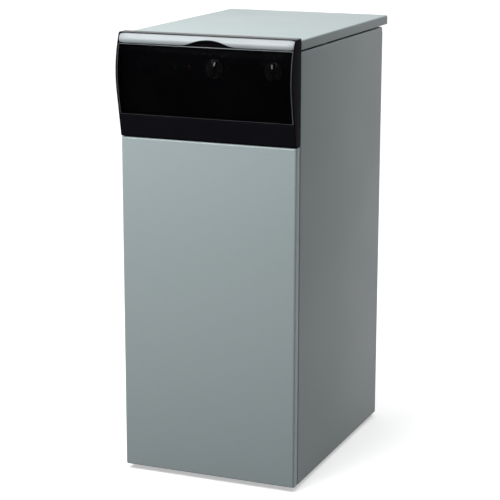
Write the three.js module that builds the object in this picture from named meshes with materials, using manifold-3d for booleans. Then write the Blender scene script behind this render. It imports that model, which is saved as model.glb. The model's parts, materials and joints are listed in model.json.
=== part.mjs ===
// A slim floor standing gas boiler with a cast iron heat exchanger. Millimetres, +Z up, front towards -Y.
// It is drawn with y = 0 at the door's face and z = 0 on the floor. The outer group then moves it
// so that the origin is on the floor at the centre of the whole boiler's box.
import * as THREE from "three";
import { mergeVertices } from "three/addons/utils/BufferGeometryUtils.js";
import Module from "manifold-3d";

const wasm = await Module();
wasm.setup();

// Fits and cuts that many pieces share
const sheet = 1.2; // thickness of the casing's sheet steel
const clearance = 0.3; // gap between pieces that seat on each other
const running = 0.1; // radial gap of a shaft that turns in its hole
const overrun = 2; // how far a cutting shape runs past what it cuts

// Numbers of facets
const edge_facets = 2;
const bend_facets = 3;
const round_facets = 4;
const tiny_turn_facets = 8;
const small_turn_facets = 12;
const port_facets = 12;
const turn_facets = 16;
const wide_turn_facets = 20;
const hex_sides = 6;

// Casing
const casing = {
  width: 350,
  depth: 490, // from the door's face to the rear of the side panels
  foot_gap: 10, // from the floor to the bottom edge of the panels
  panel_height: 818.5,
  front_return: 18,
  rear_return: 20,
  top_return: 18,
  bend: 3,
};
const half = casing.width / 2;
const door = {
  height: 647,
  depth: 19.5, // of the folded edges
  corner: 5,
  side_gap: 2, // between the folded edge and the side panel
  flange: 9, // turned in along the top and bottom
  stud_inset: 35, // from the casing's side to a stud
  stud_radius: 2.5,
  ball_radius: 4,
};
const cover = {
  skirt: 17.5,
  gap: 3.5, // dark joint between the cover and the side panels
  overhang: 34, // behind the side panels
  corner: 7,
  front_corner: 3.5,
  bend: 3,
  peg_radius: 3,
  peg_length: 9, // below the top return
  shoulder_radius: 6,
  peg_inset: 9.5, // from the casing's side to a peg
  front_peg_from_front: 132,
  rear_peg_from_rear: 60,
};
const tray = {
  height: 40,
  floor: 2,
  front_gap: 2.5, // behind the side panels' front edge
  slots: 6,
  slot_length: 190,
  slot_width: 9,
  slot_pitch: 26,
};
const foot = {
  pad_radius: 17,
  pad_height: 5,
  stem_radius: 5,
  stem_length: 24, // above the tray's floor
  nut_radius: 9.5,
  nut_height: 3,
  side_inset: 45, // from the casing's side to the foot's centre
  end_inset: 50, // from the front or rear edge of the side panels
};
const crossbar = { depth: 17, height: 28, wall: 1.5, rear_flange: 10 };
const clip = { radius: 9, flange_radius: 11, flange: 2, length: 11, mouth: 5.6, chamfer: 1.5 };
const rear = {
  slots: 6,
  slot_columns: 2,
  slot_length: 0.257 * casing.width,
  slot_width: 5,
  slot_pitch: 14,
  slot_gap: 22, // between the two columns
  slots_below_hood: 20,
  slots_left: 44, // how far left of the centre line the columns' middle is
};

// Fascia, trim and flap
const fascia = {
  height: 195,
  door_gap: 1, // above the door
  panel_gap: 0.5, // in front of the side panels
  bulge: 20.4, // how far the crown stands in front of the door
  crown_height: 120, // from the bottom edge to the crown
  crown_radius: 175,
  lean: 0.192, // of the straight lower part, in radians from upright
  corner: 5,
  wall: 2.5,
  band_height: 42, // plain band below the flap
};
const trim = {
  height: 18,
  thickness: 2.2,
  lip: 1.6,
  notch_at: 7, // from the centre line
  notch_width: 115,
  notch_height: 12,
  pocket_depth: 12,
};
const flap = {
  thickness: 2.5,
  side_gap: 0.8,
  edge_gap: 1,
  bead_radius: 3.2,
  pin_radius: 2,
  pin_depth: 1.6,
  lip: 5,
};
const plate = {
  reach: 1,
  thickness: 2,
  overlap: 8,
  control_drop: 39, // from the flap's top edge to the controls' axes
};

// Controls, with their distances from the centre line
const knob = { radius: 18, skirt: 3, height: 10.5, grip_width: 7, grip_length: 31, gap: 0.8, tilt: 0.33 };
const control_insets = { gauge: 57, selector: 43 }; // from the casing's side to the axis
const control_shares = { temperature: 0.0486, button: -0.176, lamp: -0.096, unit: 0.19 }; // of the width
const temperature_control = { at: control_shares.temperature * casing.width };
const selector_control = { at: half - control_insets.selector };
const shaft = { radius: 3, collar_radius: 5.5, seat: 7, socket: 6.5 };
const gauge = {
  at: control_insets.gauge - half,
  flange_radius: 22.5,
  flange: 2.4,
  body_radius: 19.5,
  body_depth: 22,
  dial_radius: 16.5,
  dial_depth: 4.4,
  glass_radius: 18.5,
  glass: 1.2,
  pin_radius: 0.8,
  hub_radius: 2.6,
  needle_length: 13,
  needle_width: 1.4,
  needle: 0.8,
  rest_turn: -2.1, // the needle at zero, in radians from upright
};
const button = { at: control_shares.button * casing.width, radius: 5.5, reach: 3, depth: 8, travel: 2.5 };
const lamp = { at: control_shares.lamp * casing.width, radius: 4, reach: 1.6 };
const box = { side_inset: 24, depth: 116, wall: 1.2, edge_inset: 9, cable_hole: 7 };
const thermostat_case = { width: 36, height: 40, depth: 34, edge: 3 };
const switch_case = { width: 34, height: 34, depth: 42, edge: 3 };
const unit_case = { width: control_shares.unit * casing.width, height: 46, depth: 62, edge: 4 };

// Heat exchanger
const iron_room = { side: 50, front: 72, rear: 58 }; // from the casing's side, front and rear to the cast iron
const section_count = 4;
const section = {
  pitch: (casing.depth - iron_room.front - iron_room.rear) / section_count,
  width: casing.width - 2 * iron_room.side,
  height: 380,
  corner: 24,
  channels: 4,
  side_wall: 14,
  rib: 12,
  channel_depth: 15,
  boss_radius: 27,
  water_wall: 6, // iron between the water and the outside
  port_radius: 17,
  port_inset: 37, // from the side to the port's axis
  port_rise: 35, // from the top or bottom edge to the port's axis
  lug_reach: 20,
  lug_height: 30,
};
const tie_rod = { radius: 6, nut_radius: 11, nut_height: 9, end: 4 };
const jacket = { thickness: 14, nut_hole: 14, port_hole: 26 };
const chamber = { front: iron_room.front, wall: 2, height: 202.4, ledge: 20 };

// Burner and gas
const burner_pitch_share = 0.28; // of the sections' width
const burner = {
  bars: 3,
  pitch: burner_pitch_share * section.width,
  radius: 16,
  keel: 26, // from the axis down to the keel
  axis_below_top: 54,
  throat_radius: 10,
  throat_depth: 60,
  slots: 7,
  slot_width: 5,
  slot_depth: 7,
  slot_length: 20,
  end_margin: 40,
};
const front_plate = {
  thickness: 2,
  air_hole: 14,
  window_at: section.width / 2 - section.port_inset,
  window_drop: 55,
  window_radius: 14,
  pilot_hole: 9,
};
const sight = { radius: 18, thickness: 3, bevel: 1 };
const manifold = {
  radius: 11,
  gap: 24,
  end: 20,
  jet_radius: 7,
  tip_radius: 3,
  tip: 8,
  bracket: 5,
  bracket_height: 16,
};
const gas_inset = 35; // from the casing's side to the gas pipe's axis
const gas_line = { radius: 10.5, bore: 8, bend: 22, at: gas_inset - half, rise_on_valve: 20, spigot: 12 };
const valve_from_pipe = 65;
const valve = {
  width: 60,
  depth: 38,
  height: 58,
  edge: 5,
  coil_radius: 10,
  coil_length: 16,
  at: gas_line.at + valve_from_pipe,
  foot_width: 40,
};
const pilot = {
  at: burner.pitch / 2,
  rise: 16,
  flange_width: 26,
  flange_height: 34,
  flange: 3,
  tube_radius: 5,
  head_radius: 7,
  tube: 34,
  head: 12,
  electrode: 1.5,
  electrode_offset: 10,
};

// Flue and water
const hood_room = 7; // from the sections' side to the hood's
const hood = {
  width: section.width - 2 * hood_room,
  wall: 1.5,
  front_height: 30,
  height: 209,
  crown_from_rear: 150,
  flange: 6,
};
const collar = {
  radius: 62,
  wall: 2,
  drop: 68,
  inner_reach: 6,
  flange: 12,
  flange_thickness: 1.5,
  bead: 2.5,
  bead_from_end: 14,
};
const rear_reach = 90; // from the rear of the side panels to the pipe and flue ends
const water_pipe = { radius: 16.6, bore: 13.5, nut_radius: 23, nut_height: 14, nut_gap: 4 };
const cock = {
  hex_radius: 20,
  hex: 9,
  body_radius: 9,
  tail_radius: 7,
  tail: 24,
  end: 34, // the body's front end
  plug: 12,
  spindle_radius: 4,
  spindle_depth: 16,
  key: 3.2, // half the width of the spindle's square
  key_length: 9,
};
const pocket = { hex_radius: 20, hex: 9, radius: 7.5, bore: 5.2, depth: 80, plug: 12, wall: 5 };
const capillary = { radius: 1.5, phial_radius: 4, phial: 46, bend: 6, in_front: 22, sides: 6 };
const gland_inset = 37; // from the casing's side to the gland's axis
const gland = {
  at: gland_inset - half,
  below_top: 60,
  radius: 8,
  hex_radius: 13,
  hex: 6,
  dome: 12,
  dome_radius: 9.5,
  nut: 5,
  bore: 4.5,
};

// Places worked out from the sizes
const panel = {
  x: half - sheet,
  y0: door.depth + door.side_gap,
  y1: casing.depth,
  z0: casing.foot_gap,
  z1: casing.foot_gap + casing.panel_height,
};
const door_top = panel.z0 + door.height;
const inner_x = panel.x - clearance;
const bend_x = inner_x - (casing.bend - sheet); // clear of the side panels' inner bends
const cover_z0 = panel.z1 + cover.gap;
const rear_end = panel.y1 + rear_reach;
const rear_face = panel.y1 - sheet - clearance; // outside of the rear panel
const crossbar_y = panel.y0 + sheet + clearance;
const upper_bar_z = door_top - crossbar.height - clearance;
const lower_bar_z = panel.z0 + tray.height + clearance;
const fascia_z0 = door_top + fascia.door_gap;
const fascia_z1 = fascia_z0 + fascia.height;
const band_top = fascia_z0 + fascia.band_height;
const flap_z0 = band_top + flap.edge_gap;
const trim_z0 = fascia_z1 - trim.height - trim.lip;
const flap_z1 = trim_z0 - flap.edge_gap;
const plate_front = -plate.reach;
const plate_back = plate_front + plate.thickness;
const control_z = flap_z1 - plate.control_drop;
const exchanger = {
  y0: chamber.front,
  y1: chamber.front + section_count * section.pitch,
  z0: panel.z0 + tray.floor + clearance + chamber.height + clearance,
};
exchanger.z1 = exchanger.z0 + section.height;
const port_x = section.width / 2 - section.port_inset;
const plug_radius = section.port_radius - clearance;
const upper_port_z = exchanger.z1 - section.port_rise;
const lower_port_z = exchanger.z0 + section.port_rise;
const rod_x = (section.width + section.lug_reach) / 2;
const rod_z = (exchanger.z0 + exchanger.z1) / 2;
const chamber_z0 = panel.z0 + tray.floor + clearance;
const chamber_z1 = chamber_z0 + chamber.height;
const burner_z = chamber_z1 - burner.axis_below_top;
const plate_y = chamber.front - clearance - front_plate.thickness; // front face of the burner front plate
const manifold_y = plate_y - manifold.gap;
const hood_z0 = exchanger.z1 + clearance;
const hood_z1 = hood_z0 + hood.height;
const hood_y1 = rear_face - sheet - clearance;
const flue_z = hood_z1 - collar.drop;
const rear_top = panel.z1 - sheet - clearance;

// Finishes
const finish = (color, roughness, metalness) =>
  new THREE.MeshStandardMaterial({ color, roughness, metalness, flatShading: true });
const grey_paint = finish(0xa6b1b2, 0.45, 0.3);
const side_paint = finish(0x9aa3a5, 0.45, 0.3);
const plain_steel = finish(0xa8abad, 0.5, 0.8);
const black_plastic = finish(0x16151a, 0.5, 0);
const silver_plastic = finish(0xd5d9da, 0.35, 0.4);
const smoked_plastic = finish(0x050507, 0.1, 0);
const dark_panel = finish(0x101014, 0.6, 0);
const knob_plastic = finish(0x2b2c30, 0.4, 0);
const cast_iron = finish(0x3b3b3d, 0.8, 0.5);
const brass = finish(0xb08d4a, 0.4, 0.9);
const white_plastic = finish(0xe4e4df, 0.5, 0);
const clear_glass = finish(0xdfe8ea, 0.05, 0);
const red_plastic = finish(0xb3202a, 0.3, 0);
const wool = finish(0xb9b6a8, 0.9, 0);
const rubber = finish(0x1b1b1b, 0.9, 0);
const copper = finish(0xb8734a, 0.35, 1);

// Solids from geometry

// A geometry's vertices and triangles as a manifold solid whose faces point out.
function solid(geometry) {
  const bare = geometry.clone();
  bare.deleteAttribute("normal");
  bare.deleteAttribute("uv");
  const merged = mergeVertices(bare);
  const corners = merged.index.array;
  const triangles = [];
  for (let i = 0; i < corners.length; i += 3) {
    const [a, b, c] = [corners[i], corners[i + 1], corners[i + 2]];
    if (a !== b && b !== c && c !== a) triangles.push(a, b, c);
  }
  const build = (list) =>
    new wasm.Manifold(
      new wasm.Mesh({
        numProp: 3,
        vertProperties: new Float32Array(merged.attributes.position.array),
        triVerts: new Uint32Array(list),
      }),
    );
  const made = build(triangles);
  return made.volume() < 0 ? build(triangles.reverse()) : made;
}

const join = (first, ...others) => others.reduce((sum, next) => sum.add(next), first);
const cut = (body, ...tools) => tools.reduce((rest, tool) => rest.subtract(tool), body);

// A mesh named for its sub-part.
function piece(name, body, material, place = [0, 0, 0], turn = [0, 0, 0]) {
  const made = body.getMesh();
  const geometry = new THREE.BufferGeometry();
  geometry.setAttribute("position", new THREE.BufferAttribute(made.vertProperties, 3));
  geometry.setIndex(new THREE.BufferAttribute(made.triVerts, 1));
  const mesh = new THREE.Mesh(geometry, material);
  mesh.name = name;
  mesh.position.set(...place);
  mesh.rotation.set(...turn);
  return mesh;
}

function group(...members) {
  const made = new THREE.Group();
  made.add(...members);
  return made;
}

function block(x0, x1, y0, y1, z0, z1) {
  const size = new THREE.BoxGeometry(x1 - x0, y1 - y0, z1 - z0);
  return solid(size.translate((x0 + x1) / 2, (y0 + y1) / 2, (z0 + z1) / 2));
}

// Extrusions of a flat outline. The outline is drawn in YZ, XZ or XY.
const x_basis = new THREE.Matrix4().set(0, 0, 1, 0, 1, 0, 0, 0, 0, 1, 0, 0, 0, 0, 0, 1);
const y_basis = new THREE.Matrix4().set(1, 0, 0, 0, 0, 0, -1, 0, 0, 1, 0, 0, 0, 0, 0, 1);

function extruded(shape, length, facets) {
  return new THREE.ExtrudeGeometry(shape, { depth: length, bevelEnabled: false, curveSegments: facets });
}
function alongX(shape, x0, x1, facets = bend_facets) {
  return solid(extruded(shape, x1 - x0, facets).applyMatrix4(x_basis).translate(x0, 0, 0));
}
function alongY(shape, y0, y1, facets = bend_facets) {
  return solid(extruded(shape, y1 - y0, facets).applyMatrix4(y_basis).translate(0, y1, 0));
}
function alongZ(shape, z0, z1, facets = bend_facets) {
  return solid(extruded(shape, z1 - z0, facets).translate(0, 0, z0));
}

// An upright extrusion whose top edge is rounded.
function softTop(shape, z0, z1, radius) {
  const low = z0 - radius - overrun;
  const geometry = new THREE.ExtrudeGeometry(shape, {
    depth: z1 - low - 2 * radius,
    bevelThickness: radius,
    bevelSize: radius,
    bevelOffset: -radius,
    bevelSegments: edge_facets,
    curveSegments: bend_facets,
  });
  const made = solid(geometry.translate(0, 0, low + radius));
  const { min, max } = made.boundingBox();
  const [x0, x1] = [min[0] - overrun, max[0] + overrun];
  return cut(made, block(x0, x1, min[1] - overrun, max[1] + overrun, low - overrun, z0));
}

const outline = (points) => new THREE.Shape(points.map(([a, b]) => new THREE.Vector2(a, b)));

// A rectangle with a radius for each corner, from the low corner round to the top left one.
function rectangle(a0, a1, b0, b1, low_left = 0, ...others) {
  const [low_right, top_right, top_left] = others.length ? others : [low_left, low_left, low_left];
  const shape = new THREE.Shape();
  shape.moveTo(a0 + low_left, b0);
  shape.lineTo(a1 - low_right, b0);
  if (low_right) shape.absarc(a1 - low_right, b0 + low_right, low_right, -Math.PI / 2, 0);
  shape.lineTo(a1, b1 - top_right);
  if (top_right) shape.absarc(a1 - top_right, b1 - top_right, top_right, 0, Math.PI / 2);
  shape.lineTo(a0 + top_left, b1);
  if (top_left) shape.absarc(a0 + top_left, b1 - top_left, top_left, Math.PI / 2, Math.PI);
  shape.lineTo(a0, b0 + low_left);
  if (low_left) shape.absarc(a0 + low_left, b0 + low_left, low_left, Math.PI, 1.5 * Math.PI);
  return shape;
}

// A turned solid about X, Y or Z through a point. The profile's points are [radius, distance along the axis].
const turn_to = { x: (g) => g.rotateZ(-Math.PI / 2), y: (g) => g, z: (g) => g.rotateX(Math.PI / 2) };
function turned(axis, [x, y, z], profile, facets = turn_facets) {
  const points = profile.map(([radius, along]) => new THREE.Vector2(radius, along));
  return solid(turn_to[axis](new THREE.LatheGeometry(points, facets)).translate(x, y, z));
}
function rod(axis, at, radius, from, to, facets = turn_facets) {
  return turned(axis, at, [[0, from], [radius, from], [radius, to], [0, to]], facets);
}

// The stations of a route whose corners are rounded: a point and a direction at each.
function stations(corners, bend, steps) {
  const points = corners.map((corner) => new THREE.Vector3(...corner));
  const last = points.length - 1;
  return points.flatMap((point, i) => {
    const into = i > 0 && point.clone().sub(points[i - 1]).normalize();
    const out = i < last && points[i + 1].clone().sub(point).normalize();
    if (!into || !out) return [{ at: point, along: into || out }];
    const angle = into.angleTo(out);
    const inward = out.clone().addScaledVector(into, -Math.cos(angle)).normalize();
    const start = point.clone().addScaledVector(into, -bend * Math.tan(angle / 2));
    const centre = start.clone().addScaledVector(inward, bend);
    return Array.from({ length: steps + 1 }, (_, k) => {
      const turn = (angle * k) / steps;
      const at = centre.clone().addScaledVector(inward, -bend * Math.cos(turn));
      at.addScaledVector(into, bend * Math.sin(turn));
      const along = into.clone().multiplyScalar(Math.cos(turn)).addScaledVector(inward, Math.sin(turn));
      return { at, along };
    });
  });
}

// A round solid swept along a route.
function swept(corners, radius, bend, facets = turn_facets) {
  const path = stations(corners, bend, round_facets);
  const vertices = [];
  const triangles = [];
  const normal = new THREE.Vector3(0, 0, 1);
  if (Math.abs(path[0].along.z) > Math.SQRT1_2) normal.set(1, 0, 0);
  path.forEach(({ at, along }, i) => {
    if (i > 0) normal.applyQuaternion(new THREE.Quaternion().setFromUnitVectors(path[i - 1].along, along));
    normal.addScaledVector(along, -normal.dot(along)).normalize();
    const side = along.clone().cross(normal);
    for (let k = 0; k < facets; k += 1) {
      const angle = (2 * Math.PI * k) / facets;
      const spot = at.clone().addScaledVector(normal, radius * Math.cos(angle));
      spot.addScaledVector(side, radius * Math.sin(angle));
      vertices.push(spot.x, spot.y, spot.z);
    }
  });
  const ring = (i, k) => i * facets + (k % facets);
  for (let i = 0; i < path.length - 1; i += 1)
    for (let k = 0; k < facets; k += 1) {
      triangles.push(ring(i, k), ring(i, k + 1), ring(i + 1, k + 1));
      triangles.push(ring(i, k), ring(i + 1, k + 1), ring(i + 1, k));
    }
  const end = path.length - 1;
  for (let k = 1; k < facets - 1; k += 1) {
    triangles.push(ring(0, 0), ring(0, k + 1), ring(0, k));
    triangles.push(ring(end, 0), ring(end, k), ring(end, k + 1));
  }
  const geometry = new THREE.BufferGeometry();
  geometry.setAttribute("position", new THREE.BufferAttribute(new Float32Array(vertices), 3));
  geometry.setIndex(triangles);
  return solid(geometry);
}

// The fascia's side profile: a straight part that leans forward, then a round crown that meets it smoothly.
// An inset moves the profile in by a wall's thickness.
const crown_z = fascia_z0 + fascia.crown_height;

function frontAt(z, inset = 0) {
  const radius = fascia.crown_radius - inset;
  const centre_y = fascia.crown_radius - fascia.bulge;
  const lean_z = crown_z - radius * Math.sin(fascia.lean);
  const lean_y = centre_y - radius * Math.cos(fascia.lean);
  if (z < lean_z) return lean_y + (lean_z - z) * Math.tan(fascia.lean);
  return centre_y - Math.sqrt(radius ** 2 - (z - crown_z) ** 2);
}

// Points on the profile from one height to another, in the YZ plane.
function arcPoints(z0, z1, inset = 0, steps = round_facets) {
  return Array.from({ length: steps + 1 }, (_, k) => {
    const z = z0 + ((z1 - z0) * k) / steps;
    return [frontAt(z, inset), z];
  });
}

// Quarter round points about a centre in the YZ plane, from one angle to another.
function cornerPoints(y, z, radius, from, to) {
  return Array.from({ length: bend_facets + 1 }, (_, k) => {
    const angle = from + ((to - from) * k) / bend_facets;
    return [y + radius * Math.cos(angle), z + radius * Math.sin(angle)];
  });
}

// Casing pieces

// One folded side panel: a channel in plan with its top edge turned in. side is 1 on the right, -1 on the left.
function sidePanel(side) {
  const bend = casing.bend;
  const outer = rectangle(panel.x - casing.front_return, half, panel.y0, panel.y1, 0, bend, bend, 0);
  const hollow = rectangle(
    panel.x - casing.rear_return - overrun,
    panel.x,
    panel.y0 + sheet,
    panel.y1 - sheet,
    0,
    casing.bend - sheet,
    casing.bend - sheet,
    0,
  );
  const front_cut = block(
    panel.x - casing.rear_return - overrun,
    half - casing.front_return,
    panel.y0 - overrun,
    panel.y0 + sheet + overrun,
    panel.z0 - overrun,
    panel.z1 + overrun,
  );
  const wide = rectangle(half - casing.rear_return, half, panel.y0, panel.y1, 0, bend, bend, 0);
  const shell = cut(
    join(alongZ(outer, panel.z0, panel.z1), alongZ(wide, panel.z0, panel.z1)),
    alongZ(hollow, panel.z0 - overrun, panel.z1 - sheet),
    front_cut,
  );
  const lid_cut = block(
    half - casing.rear_return - overrun,
    half - casing.top_return,
    panel.y0 + sheet,
    panel.y1 - sheet - casing.bend,
    panel.z1 - sheet - overrun,
    panel.z1 + overrun,
  );
  const hole = cover.peg_radius + clearance;
  const pegs = pegPlaces().map((y) =>
    rod("z", [half - cover.peg_inset, y, 0], hole, panel.z1 - sheet - overrun, panel.z1 + overrun),
  );
  const made = cut(shell, lid_cut, ...pegs);
  return side > 0 ? made : made.mirror([1, 0, 0]);
}

const pegPlaces = () => [panel.y0 + cover.front_peg_from_front, panel.y1 - cover.rear_peg_from_rear];

// The base tray: a pan with its edges turned up, air slots in its floor and a hole for each foot.
function baseTray() {
  const y0 = panel.y0 + tray.front_gap;
  const y1 = rear_face - sheet - clearance;
  const z1 = panel.z0 + tray.height;
  const x = inner_x;
  const wall = tray.floor;
  const pan = cut(
    block(-x, x, y0, y1, panel.z0, z1),
    block(-x + wall, x - wall, y0 + wall, y1 - wall, panel.z0 + wall, z1 + overrun),
  );
  const middle = (y0 + y1) / 2;
  const slots = Array.from({ length: tray.slots }, (_, k) => {
    const y = middle + (k - (tray.slots - 1) / 2) * tray.slot_pitch;
    const [w, h] = [tray.slot_length / 2, tray.slot_width / 2];
    return block(-w, w, y - h, y + h, panel.z0 - overrun, panel.z0 + tray.floor + overrun);
  });
  const holes = footPlaces().map(([, x, y]) =>
    rod("z", [x, y, 0], foot.stem_radius + clearance, panel.z0 - overrun, panel.z0 + tray.floor + overrun),
  );
  return cut(pan, ...slots, ...holes);
}

function footPlaces() {
  const x = half - foot.side_inset;
  const front = panel.y0 + foot.end_inset;
  const back = panel.y1 - foot.end_inset;
  return [
    ["foot_front_left", -x, front],
    ["foot_front_right", x, front],
    ["foot_rear_left", -x, back],
    ["foot_rear_right", x, back],
  ];
}

// A levelling foot with its lock nut, standing at z = 0.
function levellingFoot() {
  const top = panel.z0 + tray.floor + foot.stem_length;
  const pad = [
    [0, 0],
    [foot.pad_radius - foot.pad_height / 3, 0],
    [foot.pad_radius, foot.pad_height / 3],
    [foot.pad_radius - foot.pad_height / 3, foot.pad_height],
    [foot.stem_radius, foot.pad_height],
    [foot.stem_radius, top],
    [0, top],
  ];
  const nut_top = panel.z0 - clearance;
  return join(
    turned("z", [0, 0, 0], pad, small_turn_facets),
    rod("z", [0, 0, 0], foot.nut_radius, nut_top - foot.nut_height, nut_top, hex_sides),
  );
}

// A folded channel between the side panels that carries door clips.
function frontCrossbar(z0) {
  const y1 = crossbar_y + crossbar.depth;
  const z1 = z0 + crossbar.height;
  const profile = outline([
    [crossbar_y, z0],
    [y1, z0],
    [y1, z0 + crossbar.rear_flange],
    [y1 - crossbar.wall, z0 + crossbar.rear_flange],
    [y1 - crossbar.wall, z0 + crossbar.wall],
    [crossbar_y + crossbar.wall, z0 + crossbar.wall],
    [crossbar_y + crossbar.wall, z1 - crossbar.wall],
    [y1, z1 - crossbar.wall],
    [y1, z1],
    [crossbar_y, z1],
  ]);
  return alongX(profile, -bend_x, bend_x);
}

const studHeights = () => [lower_bar_z + crossbar.height / 2, upper_bar_z + crossbar.height / 2];
const stud_x = half - door.stud_inset;

// The front door: a pan with rounded front edges, turned in flanges and four ball studs.
function frontDoor() {
  const outer = rectangle(-half, half, 0, door.depth, door.corner, door.corner, 0, 0);
  const inner = rectangle(
    -half + sheet,
    half - sheet,
    sheet,
    door.depth + overrun,
    door.corner - sheet,
    door.corner - sheet,
    0,
    0,
  );
  const pan = cut(
    alongZ(outer, panel.z0, door_top, round_facets),
    alongZ(inner, panel.z0 + sheet, door_top - sheet, round_facets),
  );
  const studs = studHeights().flatMap((z) =>
    [-stud_x, stud_x].map((x) => {
      const tip = crossbar_y - clearance - clip.flange;
      const ball = tip - door.ball_radius;
      return join(
        rod("y", [x, 0, z], door.stud_radius, sheet / 2, ball, tiny_turn_facets),
        turned("y", [x, 0, z], ballProfile(ball, door.ball_radius), tiny_turn_facets),
      );
    }),
  );
  return join(pan, ...studs);
}

// A ball's profile from one pole to the other.
function ballProfile(centre, radius) {
  return Array.from({ length: round_facets + 1 }, (_, k) => {
    const angle = -Math.PI / 2 + (Math.PI * k) / round_facets;
    return [k % round_facets ? radius * Math.cos(angle) : 0, centre + radius * Math.sin(angle)];
  });
}

// A push-in clip that holds one door stud, drawn with its seat at y = 0 and its mouth towards the front.
function doorClip() {
  const bore = door.ball_radius + clearance;
  const profile = [
    [bore, 0],
    [bore, -clip.length + clip.chamfer],
    [clip.mouth, -clip.length],
    [clip.radius, -clip.length],
    [clip.radius, -clip.flange],
    [clip.flange_radius, -clip.flange],
    [clip.flange_radius, 0],
    [bore, 0],
  ];
  return turned("y", [0, 0, 0], profile, small_turn_facets);
}

// One half of the rear panel, between two heights: a flat sheet with holes for the pipes and the cable gland,
// and air slots. The halves meet on the flue's axis, so that they come off past the flue pipe.
function rearPanel(z0, z1) {
  const y0 = rear_face - sheet;
  const hole = (x, z, radius, facets = turn_facets) =>
    rod("y", [x, 0, z], radius, y0 - overrun, rear_face + overrun, facets);
  const columns = Array.from({ length: rear.slot_columns }, (_, c) => c - (rear.slot_columns - 1) / 2);
  const first = exchanger.z1 - rear.slots_below_hood;
  const rows = Array.from({ length: rear.slots }, (_, k) => first - k * rear.slot_pitch);
  const pitch = rear.slot_length + rear.slot_gap;
  const slots = columns.flatMap((c) =>
    rows.map((z) => {
      const x = c * pitch - rear.slots_left;
      const [w, h] = [rear.slot_length / 2, rear.slot_width / 2];
      return block(x - w, x + w, y0 - overrun, rear_face + overrun, z - h, z + h);
    }),
  );
  return cut(
    block(-bend_x, bend_x, y0, rear_face, z0, z1),
    hole(0, flue_z, collar.radius + clearance, wide_turn_facets),
    hole(port_x, upper_port_z, water_pipe.radius + clearance),
    hole(port_x, lower_port_z, water_pipe.radius + clearance),
    hole(gas_line.at, gas_z, gas_line.radius + clearance),
    hole(gland.at, rear_top - gland.below_top, gland.radius + clearance, small_turn_facets),
    ...slots,
  );
}

// The top cover: a pan turned upside down, with rounded corners and four locating pegs.
function topCover() {
  const y1 = panel.y1 + cover.overhang;
  const z1 = cover_z0 + cover.skirt;
  const pan = (inset, low) => {
    const front = cover.front_corner - inset;
    const back = cover.corner - inset;
    const plan = rectangle(-half + inset, half - inset, panel.y0 + inset, y1 - inset, front, front, back, back);
    return softTop(plan, low, z1 - inset, cover.bend - inset);
  };
  const pegs = pegPlaces().flatMap((y) =>
    [-1, 1].map((side) =>
      turned("z", [side * (half - cover.peg_inset), y, 0], [
        [0, panel.z1 - cover.peg_length],
        [cover.peg_radius - sheet, panel.z1 - cover.peg_length],
        [cover.peg_radius, panel.z1 - cover.peg_length + sheet],
        [cover.peg_radius, panel.z1 + clearance],
        [cover.shoulder_radius, panel.z1 + clearance],
        [cover.shoulder_radius, z1 - sheet / 2],
        [0, z1 - sheet / 2],
      ], tiny_turn_facets),
    ),
  );
  return join(cut(pan(0, cover_z0), pan(sheet, cover_z0 - overrun)), ...pegs);
}

// Fascia pieces

// The moulded frame: end cheeks, a plain band below the flap and a hollow beam behind the trim.
function fasciaFrame() {
  const y1 = panel.y0 - fascia.panel_gap;
  const corner = fascia.corner;
  const low_y = frontAt(fascia_z0 + corner);
  const top_y = frontAt(fascia_z1 - corner);
  const side = outline([
    [y1, fascia_z0],
    ...cornerPoints(low_y + corner, fascia_z0 + corner, corner, 1.5 * Math.PI, Math.PI),
    ...arcPoints(fascia_z0 + corner, fascia_z1 - corner, 0, 2 * round_facets).slice(1, -1),
    ...cornerPoints(top_y + corner, fascia_z1 - corner, corner, Math.PI, Math.PI / 2),
    [y1, fascia_z1],
  ]);
  const body = alongX(side, -half, half);
  const inside = half - fascia.wall;
  const ledge = plate_front - clearance;
  const low_room = outline([
    [y1 + overrun, fascia_z0 + fascia.wall],
    ...arcPoints(fascia_z0 + fascia.wall, band_top - fascia.wall, fascia.wall),
    [ledge, band_top - fascia.wall],
    [ledge, band_top],
    [y1 + overrun, band_top],
  ]);
  const seat = fascia.wall + trim.thickness + clearance;
  const top_room = outline([
    [y1 + overrun, trim_z0],
    [ledge, trim_z0],
    [ledge, trim_z0 + fascia.wall],
    ...arcPoints(trim_z0 + fascia.wall, fascia_z1 - 2 * fascia.wall, seat, bend_facets),
    [top_y + corner, fascia_z1 - fascia.wall],
    [y1 + overrun, fascia_z1 - fascia.wall],
  ]);
  const window_y = -fascia.bulge - overrun;
  const window = block(-inside, inside, window_y, y1 + overrun, band_top, trim_z0);
  const seat_z1 = trim_z0 + trim.height + clearance;
  const trim_seat = outline([
    [window_y, trim_z0 - overrun],
    ...arcPoints(trim_z0 - overrun, seat_z1, trim.thickness + clearance, bend_facets),
    [window_y, seat_z1],
  ]);
  const pins = [-1, 1].map((end) => {
    const face = end * inside;
    const ends = [face - end * overrun, face + end * (flap.pin_depth + clearance)];
    return rod("x", [0, hinge.y, hinge.z], flap.pin_radius + running, Math.min(...ends), Math.max(...ends));
  });
  return cut(
    body,
    window,
    alongX(low_room, -inside, inside),
    alongX(top_room, -inside, inside),
    alongX(trim_seat, -inside, inside),
    notchPocket(),
    ...pins,
  );
}

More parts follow.
